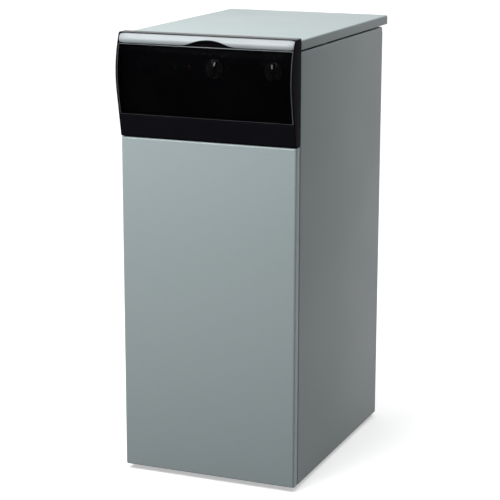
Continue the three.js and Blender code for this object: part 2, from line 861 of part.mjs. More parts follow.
// The finger notch's outline in front view: a low arch with flared ends, reaching down past the trim's edge.
function notchOutline(spread, top) {
  const w = notch_half + spread;
  const flare = w * notch_shares.flare;
  const shoulder = w * notch_shares.shoulder;
  const at = trim.notch_at;
  const shape = new THREE.Shape();
  shape.moveTo(at - w, trim_z0 - overrun);
  shape.lineTo(at - w, trim_z0);
  shape.bezierCurveTo(at - flare, trim_z0, at - shoulder, top, at, top);
  shape.bezierCurveTo(at + shoulder, top, at + flare, trim_z0, at + w, trim_z0);
  shape.lineTo(at + w, trim_z0 - overrun);
  return shape;
}
const notch_half = trim.notch_width / 2;
const notch_shares = { flare: 0.62, shoulder: 0.5 };

// The pocket behind the notch, where a finger reaches over the flap's top edge.
function notchPocket() {
  const shape = notchOutline(-fascia.wall, trim_z0 + trim.notch_height - fascia.wall / 2);
  return alongY(shape, -fascia.bulge - overrun, frontAt(trim_z0) + trim.pocket_depth, 2 * round_facets);
}

// The bright trim band over the flap, with its finger notch.
function fasciaTrim() {
  const z1 = trim_z0 + trim.height;
  const inside = half - fascia.wall - clearance;
  const profile = outline([
    ...arcPoints(trim_z0, z1 - trim.thickness, 0, bend_facets),
    [frontAt(z1) + trim.thickness / 2, z1],
    ...arcPoints(z1, trim_z0, trim.thickness, bend_facets),
  ]);
  const opening = notchOutline(0, trim_z0 + trim.notch_height);
  const notch = alongY(opening, -fascia.bulge - overrun, 0, 2 * round_facets);
  return cut(alongX(profile, -inside, inside), notch);
}

const hinge = { y: frontAt(flap_z0 + flap.bead_radius, flap.bead_radius), z: flap_z0 + flap.bead_radius };

// The smoked flap: a curved sheet with a rolled bottom edge and a short pin at each end, moulded in one.
function controlFlap() {
  const end = half - fascia.wall - flap.side_gap;
  const sheet_outline = outline([
    ...arcPoints(hinge.z, flap_z1, 0, 2 * round_facets),
    [frontAt(flap_z1, flap.thickness) + flap.lip, flap_z1],
    [frontAt(flap_z1, flap.thickness) + flap.lip, flap_z1 - flap.thickness],
    ...arcPoints(flap_z1 - flap.thickness, hinge.z, flap.thickness, 2 * round_facets),
  ]);
  const reach = half - fascia.wall + flap.pin_depth;
  return join(
    alongX(sheet_outline, -end, end),
    rod("x", [0, hinge.y, hinge.z], flap.bead_radius, -end, end),
    rod("x", [0, hinge.y, hinge.z], flap.pin_radius, -reach, reach),
  );
}

// The flat control plate behind the flap.
function controlPlate() {
  const x = half - fascia.wall - clearance;
  const ends = [plate_front - overrun, plate_back + overrun];
  const hole = (at, radius) => rod("y", [at, 0, control_z], radius + clearance, ...ends);
  return cut(
    block(-x, x, plate_front, plate_back, band_top - plate.overlap, trim_z0 + plate.overlap),
    hole(temperature_control.at, shaft.collar_radius),
    hole(selector_control.at, shaft.collar_radius),
    hole(gauge.at, gauge.body_radius),
    hole(button.at, button.radius),
    hole(lamp.at, lamp.radius),
  );
}

// Controls, each drawn about its own axis with y = 0 at the control plate's front face

// A knob: a round skirt with a raised grip bar and a blind hole for its shaft.
function knobBody() {
  const base = -knob.gap;
  const skirt = turned("y", [0, 0, 0], [
    [0, base - knob.skirt],
    [knob.radius - knob.skirt / 2, base - knob.skirt],
    [knob.radius, base - knob.skirt / 2],
    [knob.radius, base],
    [0, base],
  ]);
  const w = knob.grip_width / 2;
  const l = knob.grip_length / 2;
  const grip = alongY(rectangle(-w, w, -l, l, w * 0.9), base - knob.height, base - knob.skirt / 2);
  const hub = rod("y", [0, 0, 0], knob.radius / 2, base - (knob.skirt + knob.height) / 2, base);
  const bore = rod("y", [0, 0, 0], shaft.radius + clearance, base - shaft.socket, base + overrun);
  return cut(join(skirt, grip, hub), bore);
}

// The shaft that the knob turns, from its seat in the case to its end in the knob.
function knobShaft() {
  return rod("y", [0, 0, 0], shaft.radius, -knob.gap - shaft.socket + clearance, shaft.seat - clearance);
}

// A switch or thermostat case with a threaded neck through the control plate.
function controlCase(size) {
  const front = plate.thickness + clearance;
  const body = alongY(
    rectangle(-size.width / 2, size.width / 2, -size.height / 2, size.height / 2, size.edge),
    front,
    front + size.depth,
  );
  return cut(
    join(body, rod("y", [0, 0, 0], shaft.collar_radius, 0, front + size.edge)),
    rod("y", [0, 0, 0], shaft.radius + running, -overrun, shaft.seat),
  );
}

// The gauge's case: a cup with a bezel, a recess for the dial and a rebate for the glass.
function gaugeCase() {
  const face = -clearance;
  const front = face - gauge.flange;
  const floor = front + gauge.glass + gauge.dial_depth;
  const cup = turned("y", [0, 0, 0], [
    [0, floor],
    [gauge.dial_radius, floor],
    [gauge.dial_radius, front + gauge.glass],
    [gauge.glass_radius + clearance, front + gauge.glass],
    [gauge.glass_radius + clearance, front],
    [gauge.flange_radius - gauge.flange / 2, front],
    [gauge.flange_radius, front + gauge.flange / 2],
    [gauge.flange_radius, face],
    [gauge.body_radius, face],
    [gauge.body_radius, gauge.body_depth],
    [0, gauge.body_depth],
  ].reverse());
  const pin_end = front + gauge.glass + gauge.needle;
  return join(cup, rod("y", [0, 0, 0], gauge.pin_radius, pin_end, floor + overrun, small_turn_facets));
}

// The needle on its hub, pointing up and clear of the dial and the glass.
function gaugeNeedle() {
  const y1 = -clearance - gauge.flange + gauge.glass + gauge.dial_depth - gauge.needle / 2;
  const y0 = y1 - gauge.needle;
  const hub = rod("y", [0, 0, 0], gauge.hub_radius, y0 - gauge.needle / 2, y1, small_turn_facets);
  const pointer = alongY(
    outline([
      [-gauge.needle_width, -gauge.hub_radius - gauge.needle_width],
      [gauge.needle_width, -gauge.hub_radius - gauge.needle_width],
      [gauge.needle_width / 4, gauge.needle_length],
      [-gauge.needle_width / 4, gauge.needle_length],
    ]),
    y0,
    y1,
  );
  return cut(
    join(hub, pointer),
    rod("y", [0, 0, 0], gauge.pin_radius + running, y0 - overrun, y1 + overrun, small_turn_facets),
  );
}

function gaugeGlass() {
  const front = -clearance - gauge.flange;
  return rod("y", [0, 0, 0], gauge.glass_radius, front, front + gauge.glass - clearance);
}

function resetButton() {
  return turned("y", [0, 0, 0], [
    [0, -button.reach],
    [button.radius - clearance, -button.reach],
    [button.radius, -button.reach + clearance],
    [button.radius, button.depth],
    [0, button.depth],
  ]);
}

function lockoutLamp() {
  return turned("y", [0, 0, 0], [
    [0, -lamp.reach],
    [lamp.radius / 2, -lamp.reach * 0.85],
    [lamp.radius, -lamp.reach / 4],
    [lamp.radius, plate.thickness],
    [0, plate.thickness],
  ]);
}

// The ignition unit: a moulded case behind the button and the lamp, with a bore that guides the button.
function ignitionUnit() {
  const middle = (button.at + lamp.at) / 2;
  const front = plate.thickness + clearance;
  const body = alongY(
    rectangle(
      middle - unit_case.width / 2,
      middle + unit_case.width / 2,
      -unit_case.height / 2,
      unit_case.height / 2,
      unit_case.edge,
    ),
    front,
    front + unit_case.depth,
  );
  const bore_end = button.depth + button.travel + clearance;
  const bore = rod("y", [button.at, 0, 0], button.radius + clearance, front - overrun, bore_end);
  return cut(body, bore);
}

// The control box: a folded tray behind the control plate, with a grommet hole in its floor.
function controlBox() {
  const x = half - box.side_inset;
  const y0 = plate_back + clearance;
  const y1 = y0 + box.depth;
  const z0 = band_top + box.edge_inset;
  const z1 = trim_z0 - box.edge_inset / 2;
  return cut(
    block(-x, x, y0, y1, z0, z1),
    block(-x + box.wall, x - box.wall, y0 - overrun, y1 - box.wall, z0 + box.wall, z1 - box.wall),
    rod("z", [port_x, capillary_y, 0], box.cable_hole, z0 - overrun, z0 + box.wall + overrun),
  );
}

// Heat exchanger pieces

// One cast section, drawn from y = 0 to its own thickness. It has upright flue channels in its inner faces,
// and a water way that the two ports open into.
function castSection(open_front, open_rear) {
  const w = section.width / 2;
  const depth = section.pitch - clearance;
  const room = section.width - 2 * section.side_wall - (section.channels - 1) * section.rib;
  const channel = room / section.channels;
  const faces = [
    [open_front, -overrun, section.channel_depth],
    [open_rear, depth - section.channel_depth, depth + overrun],
  ].filter(([open]) => open);
  const grooves = faces.flatMap(([, y0, y1]) =>
    Array.from({ length: section.channels }, (_, k) => {
      const x0 = -w + section.side_wall + k * (channel + section.rib);
      return block(x0, x0 + channel, y0, y1, exchanger.z0 - overrun, exchanger.z1 + overrun);
    }),
  );
  const face = rectangle(-w, w, exchanger.z0, exchanger.z1, section.corner);
  const wall = section.water_wall;
  const wet = rectangle(-w + wall, w - wall, exchanger.z0 + wall, exchanger.z1 - wall, section.corner - wall);
  const wet_y0 = wall + (open_front ? section.channel_depth : 0);
  const wet_y1 = depth - wall - (open_rear ? section.channel_depth : 0);
  const ports = [upper_port_z, lower_port_z];
  const bosses = ports.map((z) => rod("y", [port_x, 0, z], section.boss_radius, 0, depth, port_facets));
  const bores = ports.map((z) =>
    rod("y", [port_x, 0, z], section.port_radius, -overrun, depth + overrun, port_facets),
  );
  const lugs = [-1, 1].map((side) => {
    const inner = side * (w - section.side_wall / 2);
    const outer = side * (w + section.lug_reach);
    const z = section.lug_height / 2;
    return block(Math.min(inner, outer), Math.max(inner, outer), 0, depth, rod_z - z, rod_z + z);
  });
  const rods = [-rod_x, rod_x].map((x) =>
    rod("y", [x, 0, rod_z], tie_rod.radius + clearance, -overrun, depth + overrun, small_turn_facets),
  );
  const casting = join(cut(alongY(face, 0, depth), ...grooves), ...bosses, ...lugs);
  return cut(casting, alongY(wet, wet_y0, wet_y1), ...bores, ...rods);
}

// A tie rod that clamps the sections, with a nut at each end.
function tieRod() {
  const front = exchanger.y0 - clearance;
  const back = exchanger.y1;
  const nut_room = tie_rod.nut_height + tie_rod.end;
  const nut = (y0) => rod("y", [0, 0, 0], tie_rod.nut_radius, y0, y0 + tie_rod.nut_height, hex_sides);
  return join(
    rod("y", [0, 0, 0], tie_rod.radius, front - nut_room, back + nut_room, small_turn_facets),
    nut(front - tie_rod.nut_height),
    nut(back),
  );
}

// The insulation jacket round the sections, with holes for the nuts and the ports.
function insulationJacket() {
  const x = section.width / 2 + section.lug_reach + clearance;
  const y0 = exchanger.y0 - clearance;
  const y1 = exchanger.y1 + clearance;
  const t = jacket.thickness;
  const ends = [y0 - t - overrun, y1 + t + overrun];
  const hole = (at, z, radius) => rod("y", [at, 0, z], radius, ...ends, tiny_turn_facets);
  return cut(
    alongZ(rectangle(-x - t, x + t, y0 - t, y1 + t, t), exchanger.z0, exchanger.z1),
    block(-x, x, y0, y1, exchanger.z0 - overrun, exchanger.z1 + overrun),
    hole(-rod_x, rod_z, jacket.nut_hole),
    hole(rod_x, rod_z, jacket.nut_hole),
    hole(port_x, upper_port_z, jacket.port_hole),
    hole(port_x, lower_port_z, jacket.port_hole),
  );
}

// The combustion chamber: three folded walls that carry the sections, with a ledge turned in along the top.
function combustionChamber() {
  const x = section.width / 2;
  const y1 = exchanger.y1;
  const wall = (inset) =>
    outline([
      [-x, chamber.front],
      [-x + inset, chamber.front],
      [-x + inset, y1 - inset],
      [x - inset, y1 - inset],
      [x - inset, chamber.front],
      [x, chamber.front],
      [x, y1],
      [-x, y1],
    ]);
  return join(
    alongZ(wall(chamber.wall), chamber_z0, chamber_z1),
    alongZ(wall(chamber.ledge), chamber_z1 - chamber.wall, chamber_z1),
    alongZ(wall(chamber.ledge), chamber_z0, chamber_z0 + chamber.wall),
  );
}

// Burner pieces

const bar_names = ["burner_bar_left", "burner_bar_middle", "burner_bar_right"];
const barPlaces = () => bar_names.map((name, k) => [name, (k - (burner.bars - 1) / 2) * burner.pitch]);

// The plate that closes the chamber's front, with air holes, a sight window and a hole for the pilot.
function burnerFrontPlate() {
  const x = section.width / 2;
  const y1 = plate_y + front_plate.thickness;
  const hole = (at, z, radius) => rod("y", [at, 0, z], radius, plate_y - overrun, y1 + overrun);
  return cut(
    block(-x, x, plate_y, y1, chamber_z0, chamber_z1),
    ...barPlaces().map(([, at]) => hole(at, burner_z, front_plate.air_hole)),
    hole(front_plate.window_at, burner_z - front_plate.window_drop, front_plate.window_radius),
    hole(pilot.at, burner_z + pilot.rise, front_plate.pilot_hole),
  );
}

function sightGlass() {
  const y1 = plate_y - clearance;
  const y0 = y1 - sight.thickness;
  return turned("y", [0, 0, 0], [
    [0, y0],
    [sight.radius - sight.bevel, y0],
    [sight.radius, y0 + sight.bevel],
    [sight.radius, y1],
    [0, y1],
  ]);
}

// One burner bar: a long drop shaped tube with a throat in its front end and flame slots across its crown.
function burnerBar() {
  const y0 = chamber.front + clearance;
  const y1 = exchanger.y1 - chamber.wall - clearance;
  const shape = new THREE.Shape();
  shape.moveTo(0, -burner.keel);
  shape.lineTo(burner.radius * Math.cos(Math.PI / 6), -burner.radius / 2);
  shape.absarc(0, 0, burner.radius, -Math.PI / 6, (7 * Math.PI) / 6);
  shape.lineTo(0, -burner.keel);
  const step = (y1 - y0 - 2 * burner.end_margin - burner.slot_width) / (burner.slots - 1);
  const slots = Array.from({ length: burner.slots }, (_, k) => {
    const y = y0 + burner.end_margin + k * step;
    return block(
      -burner.slot_length / 2,
      burner.slot_length / 2,
      y,
      y + burner.slot_width,
      burner.radius - burner.slot_depth,
      burner.radius + overrun,
    );
  });
  const throat_end = y0 + burner.throat_depth;
  const throat = rod("y", [0, 0, 0], burner.throat_radius, y0 - overrun, throat_end, small_turn_facets);
  return cut(alongY(shape, y0, y1), throat, ...slots);
}

// The gas manifold: a cross tube with a jet for each bar, two brackets and a stub down to the valve.
function gasManifold() {
  const reach = ((burner.bars - 1) / 2) * burner.pitch + manifold.end;
  const tube = rod("x", [0, manifold_y, burner_z], manifold.radius, -reach, reach, small_turn_facets);
  const jets = barPlaces().map(([, at]) =>
    turned("y", [at, 0, burner_z], [
      [0, manifold_y],
      [manifold.jet_radius, manifold_y],
      [manifold.jet_radius, plate_y - clearance],
      [manifold.tip_radius, plate_y + manifold.tip],
      [0, plate_y + manifold.tip],
    ], small_turn_facets),
  );
  const brackets = [-1, 1].map((side) => {
    const outer = side * reach;
    const inner = side * (reach - manifold.bracket);
    return block(
      Math.min(inner, outer),
      Math.max(inner, outer),
      manifold_y,
      plate_y - clearance,
      burner_z - manifold.bracket_height / 2,
      burner_z + manifold.bracket_height / 2,
    );
  });
  const low = valve_top + clearance;
  const stub = rod("z", [valve.at, manifold_y, 0], manifold.radius, low, burner_z, small_turn_facets);
  return join(tube, stub, ...jets, ...brackets);
}

const valve_top = burner_z - manifold.radius - gas_line.spigot;
const valve_z0 = valve_top - valve.height;
const gas_z = valve_z0 + gas_line.rise_on_valve;

// The gas valve: a cast body with an inlet boss, a regulator cap, two coils and a foot on the burner plate.
function gasValve() {
  const x0 = valve.at - valve.width / 2;
  const x1 = valve.at + valve.width / 2;
  const y0 = manifold_y - valve.depth / 2;
  const y1 = y0 + valve.depth;
  const body = alongZ(rectangle(x0, x1, y0, y1, valve.edge), valve_z0, valve_top);
  const mount = block(
    valve.at - valve.foot_width / 2,
    valve.at + valve.foot_width / 2,
    y1 - valve.edge,
    plate_y - clearance,
    valve_z0 + valve.edge,
    valve_top - valve.edge,
  );
  const inlet_radius = gas_line.radius + valve.edge / 2;
  const inlet = rod("x", [0, manifold_y, gas_z], inlet_radius, x0 - valve.edge, x0 + valve.edge);
  const coils = [gas_z, valve_top - valve.coil_radius - valve.edge / 2].map((z) =>
    rod("x", [0, manifold_y, z], valve.coil_radius, x1 - valve.edge, x1 + valve.coil_length, small_turn_facets),
  );
  return join(body, mount, inlet, ...coils);
}

// The gas supply pipe, from the rear connection along the left side to the valve.
function gasPipe() {
  const end = valve.at - valve.width / 2 - valve.edge - clearance;
  const route = (spare) => [
    [gas_line.at, rear_end + spare, gas_z],
    [gas_line.at, manifold_y, gas_z],
    [end + spare, manifold_y, gas_z],
  ];
  return cut(
    swept(route(0), gas_line.radius, gas_line.bend, small_turn_facets),
    swept(route(overrun), gas_line.bore, gas_line.bend, small_turn_facets),
  );
}

// The pilot burner with its spark electrode, on a flange on the burner front plate.
function pilotBurner() {
  const y1 = plate_y - clearance;
  const y0 = y1 - pilot.flange;
  const head_y = plate_y + front_plate.thickness + pilot.tube;
  const flange = alongY(
    rectangle(
      -pilot.flange_width / 2,
      pilot.flange_width / 2,
      -pilot.flange_height / 2,
      pilot.flange_height / 2,
      pilot.flange,
    ),
    y0,
    y1,
  );
  const body = turned("y", [0, 0, 0], [
    [0, y0 - pilot.flange],
    [pilot.tube_radius, y0 - pilot.flange],
    [pilot.tube_radius, head_y],
    [pilot.head_radius, head_y],
    [pilot.head_radius, head_y + pilot.head],
    [0, head_y + pilot.head],
  ], small_turn_facets);
  const strap_y = head_y + pilot.head / 2;
  const strap = block(
    -pilot.electrode,
    pilot.electrode,
    strap_y - pilot.electrode,
    strap_y + pilot.electrode,
    0,
    pilot.electrode_offset,
  );
  const [wire_y0, wire_y1] = [strap_y - pilot.tube / 2, strap_y + pilot.head];
  const axis = [0, 0, pilot.electrode_offset];
  const electrode = rod("y", axis, pilot.electrode, wire_y0, wire_y1, small_turn_facets);
  return join(flange, body, strap, electrode);
}

// Flue and water pieces

// The flue hood's side outline, set in by a wall on all but its open bottom.
function hoodOutline(inset, drop) {
  const y0 = exchanger.y0 + inset;
  const y1 = hood_y1 - inset;
  return outline([
    [y0, hood_z0 - drop],
    [y1, hood_z0 - drop],
    [y1, hood_z1 - inset],
    [hood_y1 - hood.crown_from_rear + inset / 2, hood_z1 - inset],
    [y0, hood_z0 + hood.front_height - inset],
  ]);
}

// The flue hood and draught diverter: a folded hood on the sections whose open rear end spills into the casing.
function flueHood() {
  const x = hood.width / 2;
  const y1 = exchanger.y1 + hood.flange;
  const outlet_radius = collar.radius + clearance;
  const shell = cut(
    alongX(hoodOutline(0, 0), -x, x),
    alongX(hoodOutline(hood.wall, overrun), -x + hood.wall, x - hood.wall),
    rod("y", [0, 0, flue_z], outlet_radius, hood_y1 - hood.wall - overrun, hood_y1 + overrun, wide_turn_facets),
  );
  const baffle_x = x - hood.wall / 2;
  const baffle = block(-baffle_x, baffle_x, y1 - hood.wall, y1, hood_z0, flue_z - collar.radius - hood.flange);
  return join(shell, baffle);
}

// The flue collar: a tube with a flange on the rear panel and a bead near its end.
function flueCollar() {
  const r = collar.radius;
  const inside = r - collar.wall;
  const y0 = hood_y1 - collar.inner_reach;
  const flange_y = rear_face + clearance;
  const bead_y = rear_end - collar.bead_from_end;
  return turned("y", [0, 0, 0], [
    [inside, y0],
    [inside, rear_end],
    [r, rear_end],
    [r, bead_y + collar.bead],
    [r + collar.bead, bead_y],
    [r, bead_y - collar.bead],
    [r, flange_y + collar.flange_thickness],
    [r + collar.flange, flange_y + collar.flange_thickness],
    [r + collar.flange, flange_y],
    [r, flange_y],
    [r, y0],
    [inside, y0],
  ].reverse(), wide_turn_facets);
}

// A water pipe from a port of the rear section to the rear, with a hex shoulder.
function waterPipe() {
  const y0 = exchanger.y1 - clearance;
  const hex_y = y0 + water_pipe.nut_gap;
  return cut(
    join(
      rod("y", [0, 0, 0], water_pipe.radius, y0, rear_end),
      rod("y", [0, 0, 0], water_pipe.nut_radius, hex_y, hex_y + water_pipe.nut_height, hex_sides),
    ),
    rod("y", [0, 0, 0], water_pipe.bore, y0 - overrun, rear_end + overrun),
  );
}

// The drain cock in the front section's lower port, with its hose tail pointing down.
function drainCock() {
  const seat = exchanger.y0 - clearance;
  const end = cock.end;
  const tail_y = end + cock.body_radius;
  const tail = tail_shares.map(([wide, down]) => [cock.tail_radius * wide, -cock.tail * down]);
  const body = join(
    rod("y", [0, 0, 0], plug_radius, seat - clearance, exchanger.y0 + cock.plug, port_facets),
    rod("y", [0, 0, 0], cock.hex_radius, seat - cock.hex, seat, hex_sides),
    rod("y", [0, 0, 0], cock.body_radius, end, seat, small_turn_facets),
    turned("z", [0, tail_y, 0], tail, small_turn_facets),
  );
  return cut(body, rod("y", [0, 0, 0], cock.spindle_radius + running, end - overrun, end + cock.spindle_depth));
}

// The hose tail's profile, as shares of its radius and its length
const tail_shares = [[0, 1], [0.8, 1], [1, 0.8], [0.8, 0.7], [1, 0.5], [1, 0], [0, 0]];

// The drain cock's spindle, with a square for the key.
function drainSpindle() {
  const end = cock.end;
  return join(
    rod("y", [0, 0, 0], cock.spindle_radius, end - clearance, end + cock.spindle_depth - clearance),
    block(-cock.key, cock.key, end - cock.key_length, end, -cock.key, cock.key),
  );
}

// The thermostat pocket in the front section's upper port: a hex plug with a long blind tube.
function thermostatPocket() {
  const seat = exchanger.y0 - clearance;
  const bore_end = seat + pocket.depth - pocket.wall;
  return cut(
    join(
      rod("y", [0, 0, 0], plug_radius, seat - clearance, exchanger.y0 + pocket.plug, port_facets),
      rod("y", [0, 0, 0], pocket.hex_radius, seat - pocket.hex, seat, hex_sides),
      rod("y", [0, 0, 0], pocket.radius, seat, seat + pocket.depth, tiny_turn_facets),
    ),
    rod("y", [0, 0, 0], pocket.bore, seat - pocket.hex - overrun, bore_end, tiny_turn_facets),
  );
}

const capillary_y = exchanger.y0 - capillary.in_front;

// The capillary tube, from its phial in the pocket up into the control box and into the thermostat's rear.
function capillaryTube() {
  const phial_end = exchanger.y0 + pocket.depth - 2 * pocket.wall;
  const case_back = plate_back + clearance + thermostat_case.depth + clearance;
  const route = [
    [port_x, phial_end, upper_port_z],
    [port_x, capillary_y, upper_port_z],
    [port_x, capillary_y, control_z],
    [temperature_control.at, capillary_y, control_z],
    [temperature_control.at, case_back, control_z],
  ];
  const phial_axis = [port_x, 0, upper_port_z];
  return join(
    swept(route, capillary.radius, capillary.bend, capillary.sides),
    rod("y", phial_axis, capillary.phial_radius, phial_end - capillary.phial, phial_end, tiny_turn_facets),
  );
}

// The cable gland in the rear panel, with its lock nut inside and a dome nut outside.
function cableGland() {
  const inner = rear_face - sheet - clearance;
  const outer = rear_face + clearance;
  const dome_end = outer + gland.hex + gland.dome;
  const body = turned("y", [0, 0, 0], [
    [0, inner - gland.nut],
    [gland.radius, inner - gland.nut],
    [gland.radius, outer + gland.hex],
    [gland.dome_radius, outer + gland.hex],
    [gland.dome_radius, dome_end - gland.dome / 3],
    [gland.dome_radius * 0.75, dome_end],
    [0, dome_end],
  ], small_turn_facets);
  return cut(
    join(
      body,
      rod("y", [0, 0, 0], gland.hex_radius, outer, outer + gland.hex, hex_sides),
      rod("y", [0, 0, 0], gland.hex_radius, inner - gland.nut, inner, hex_sides),
    ),
    rod("y", [0, 0, 0], gland.bore, inner - gland.nut - overrun, dome_end + overrun, tiny_turn_facets),
  );
}

// Sub-assemblies

function casingGroup() {
  const clips = [
    ["door_clip_lower", studHeights()[0]],
    ["door_clip_upper", studHeights()[1]],
  ].flatMap(([name, z]) =>
    [["left", -stud_x], ["right", stud_x]].map(([side, x]) =>
      piece(`${name}_${side}`, doorClip(), white_plastic, [x, crossbar_y - clearance, z]),
    ),
  );
  return group(
    piece("base_tray", baseTray(), plain_steel),
    ...footPlaces().map(([name, x, y]) => piece(name, levellingFoot(), rubber, [x, y, 0])),
    piece("left_side_panel", sidePanel(-1), side_paint),
    piece("right_side_panel", sidePanel(1), side_paint),
    piece("lower_rear_panel", rearPanel(panel.z0 + clearance, flue_z - clearance / 2), plain_steel),
    piece("upper_rear_panel", rearPanel(flue_z + clearance / 2, rear_top), plain_steel),
    piece("upper_crossbar", frontCrossbar(upper_bar_z), plain_steel),
    piece("lower_crossbar", frontCrossbar(lower_bar_z), plain_steel),
    piece("top_cover", topCover(), grey_paint),
    piece("front_door", frontDoor(), grey_paint),
    ...clips,
  );
}

function fasciaGroup() {
  const at = (x) => [x, plate_front, control_z];
  return group(
    piece("fascia_frame", fasciaFrame(), black_plastic),
    piece("fascia_trim", fasciaTrim(), silver_plastic),
    piece("control_flap", controlFlap(), smoked_plastic),
    piece("control_plate", controlPlate(), dark_panel),
    piece("temperature_knob", knobBody(), knob_plastic, at(temperature_control.at), [0, knob.tilt, 0]),
    piece("selector_knob", knobBody(), knob_plastic, at(selector_control.at)),
    piece("temperature_shaft", knobShaft(), plain_steel, at(temperature_control.at)),
    piece("selector_shaft", knobShaft(), plain_steel, at(selector_control.at)),
    piece("thermostat_body", controlCase(thermostat_case), white_plastic, at(temperature_control.at)),
    piece("selector_switch", controlCase(switch_case), white_plastic, at(selector_control.at)),
    piece("gauge_case", gaugeCase(), black_plastic, at(gauge.at)),
    piece("gauge_needle", gaugeNeedle(), red_plastic, at(gauge.at), [0, gauge.rest_turn, 0]),
    piece("gauge_glass", gaugeGlass(), clear_glass, at(gauge.at)),
    piece("reset_button", resetButton(), knob_plastic, at(button.at)),
    piece("lockout_lamp", lockoutLamp(), red_plastic, at(lamp.at)),
    piece("ignition_unit", ignitionUnit(), white_plastic, at(0)),
    piece("control_box", controlBox(), plain_steel),
  );
}

function heatGroup() {
  const names = ["front_section", "middle_section_1", "middle_section_2", "rear_section"];
  const sections = names.slice(0, section_count).map((name, k) => {
    const body = castSection(k > 0, k < section_count - 1);
    return piece(name, body, cast_iron, [0, exchanger.y0 + k * section.pitch, 0]);
  });
  return group(
    ...sections,
    piece("tie_rod_left", tieRod(), plain_steel, [-rod_x, 0, rod_z]),
    piece("tie_rod_right", tieRod(), plain_steel, [rod_x, 0, rod_z]),
    piece("insulation_jacket", insulationJacket(), wool),
    piece("combustion_chamber", combustionChamber(), plain_steel),
    piece("flue_hood", flueHood(), plain_steel),
    piece("flue_collar", flueCollar(), plain_steel, [0, 0, flue_z]),
    piece("flow_pipe", waterPipe(), plain_steel, [port_x, 0, upper_port_z]),
    piece("return_pipe", waterPipe(), plain_steel, [port_x, 0, lower_port_z]),
    piece("drain_cock", drainCock(), brass, [port_x, 0, lower_port_z]),
    piece("drain_spindle", drainSpindle(), brass, [port_x, 0, lower_port_z]),
    piece("thermostat_pocket", thermostatPocket(), brass, [port_x, 0, upper_port_z]),
    piece("capillary_tube", capillaryTube(), copper),
    piece("cable_gland", cableGland(), black_plastic, [gland.at, 0, rear_top - gland.below_top]),
  );
}

function burnerGroup() {
  const sight_place = [front_plate.window_at, 0, burner_z - front_plate.window_drop];
  return group(
    piece("burner_front_plate", burnerFrontPlate(), plain_steel),
    piece("sight_glass", sightGlass(), clear_glass, sight_place),
    ...barPlaces().map(([name, at]) => piece(name, burnerBar(), plain_steel, [at, 0, burner_z])),
    piece("gas_manifold", gasManifold(), brass),
    piece("gas_valve", gasValve(), plain_steel),
    piece("gas_pipe", gasPipe(), plain_steel),
    piece("pilot_burner", pilotBurner(), brass, [pilot.at, 0, burner_z + pilot.rise]),
  );
}

const boiler = group(casingGroup(), fasciaGroup(), heatGroup(), burnerGroup());
boiler.position.y = -(rear_end - fascia.bulge) / 2;

export default group(boiler);
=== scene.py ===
import json
import logging
import math
from collections.abc import Callable
from dataclasses import dataclass
from enum import Enum

import bmesh
import bpy
from mathutils import Matrix, Vector

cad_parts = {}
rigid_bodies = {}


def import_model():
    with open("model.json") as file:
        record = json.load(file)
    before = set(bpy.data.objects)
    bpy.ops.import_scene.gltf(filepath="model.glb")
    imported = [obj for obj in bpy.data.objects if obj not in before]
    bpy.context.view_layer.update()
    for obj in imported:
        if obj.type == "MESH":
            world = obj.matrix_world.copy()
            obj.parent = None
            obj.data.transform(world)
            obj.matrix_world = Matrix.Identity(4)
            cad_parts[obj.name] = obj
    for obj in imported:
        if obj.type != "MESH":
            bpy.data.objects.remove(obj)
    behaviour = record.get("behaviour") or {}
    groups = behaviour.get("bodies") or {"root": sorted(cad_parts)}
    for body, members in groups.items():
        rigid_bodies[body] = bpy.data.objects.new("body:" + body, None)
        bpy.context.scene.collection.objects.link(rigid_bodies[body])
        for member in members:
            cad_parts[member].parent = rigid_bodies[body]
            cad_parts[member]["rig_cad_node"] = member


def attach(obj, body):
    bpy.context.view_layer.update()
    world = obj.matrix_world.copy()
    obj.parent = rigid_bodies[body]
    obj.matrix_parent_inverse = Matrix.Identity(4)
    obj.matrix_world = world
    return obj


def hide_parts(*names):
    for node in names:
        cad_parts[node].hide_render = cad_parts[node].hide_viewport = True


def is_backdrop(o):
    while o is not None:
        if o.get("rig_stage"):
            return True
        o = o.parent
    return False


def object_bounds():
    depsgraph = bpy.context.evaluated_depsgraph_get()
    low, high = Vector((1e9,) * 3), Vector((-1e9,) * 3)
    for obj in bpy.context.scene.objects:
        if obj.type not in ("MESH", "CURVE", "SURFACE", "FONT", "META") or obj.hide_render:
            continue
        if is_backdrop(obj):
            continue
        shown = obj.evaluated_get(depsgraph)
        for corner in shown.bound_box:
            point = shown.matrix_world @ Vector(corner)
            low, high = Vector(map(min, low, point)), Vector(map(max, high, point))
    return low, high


FACE = -0.2798  # the door's face, from which the depths below are measured
HALF = 0.175  # half the casing's width
FLUE_Z = 0.7363  # the height of the flue's axis
NEAR = 0.0001  # how close to a plane still counts as on it
ALONG = 0.9  # from which share on an axis a direction counts as along it
SMOOTH = 35.0  # the edge angle in degrees under which faces are shaded as one round
log = logging.getLogger("boiler")

Colour = tuple[float, float, float]
Point = tuple[float, float, float]
Spot = tuple[float, float]
Test = Callable[[Vector, Vector], bool]
Socket = bpy.types.NodeSocket
Material = bpy.types.Material


def linear(red: int, green: int, blue: int) -> Colour:
    """Turn a colour as seen on screen, from 0 to 255, into the shader's linear values."""
    values = [channel / 255 for channel in (red, green, blue)]
    return tuple(v / 12.92 if v <= 0.04045 else ((v + 0.055) / 1.055) ** 2.4 for v in values)


def shaded(colour: Colour, factor: float, plus: float = 0.0) -> Colour:
    """Return a colour made lighter or darker by a factor and a constant."""
    return tuple(min(1.0, c * factor + plus) for c in colour)


# Finishes


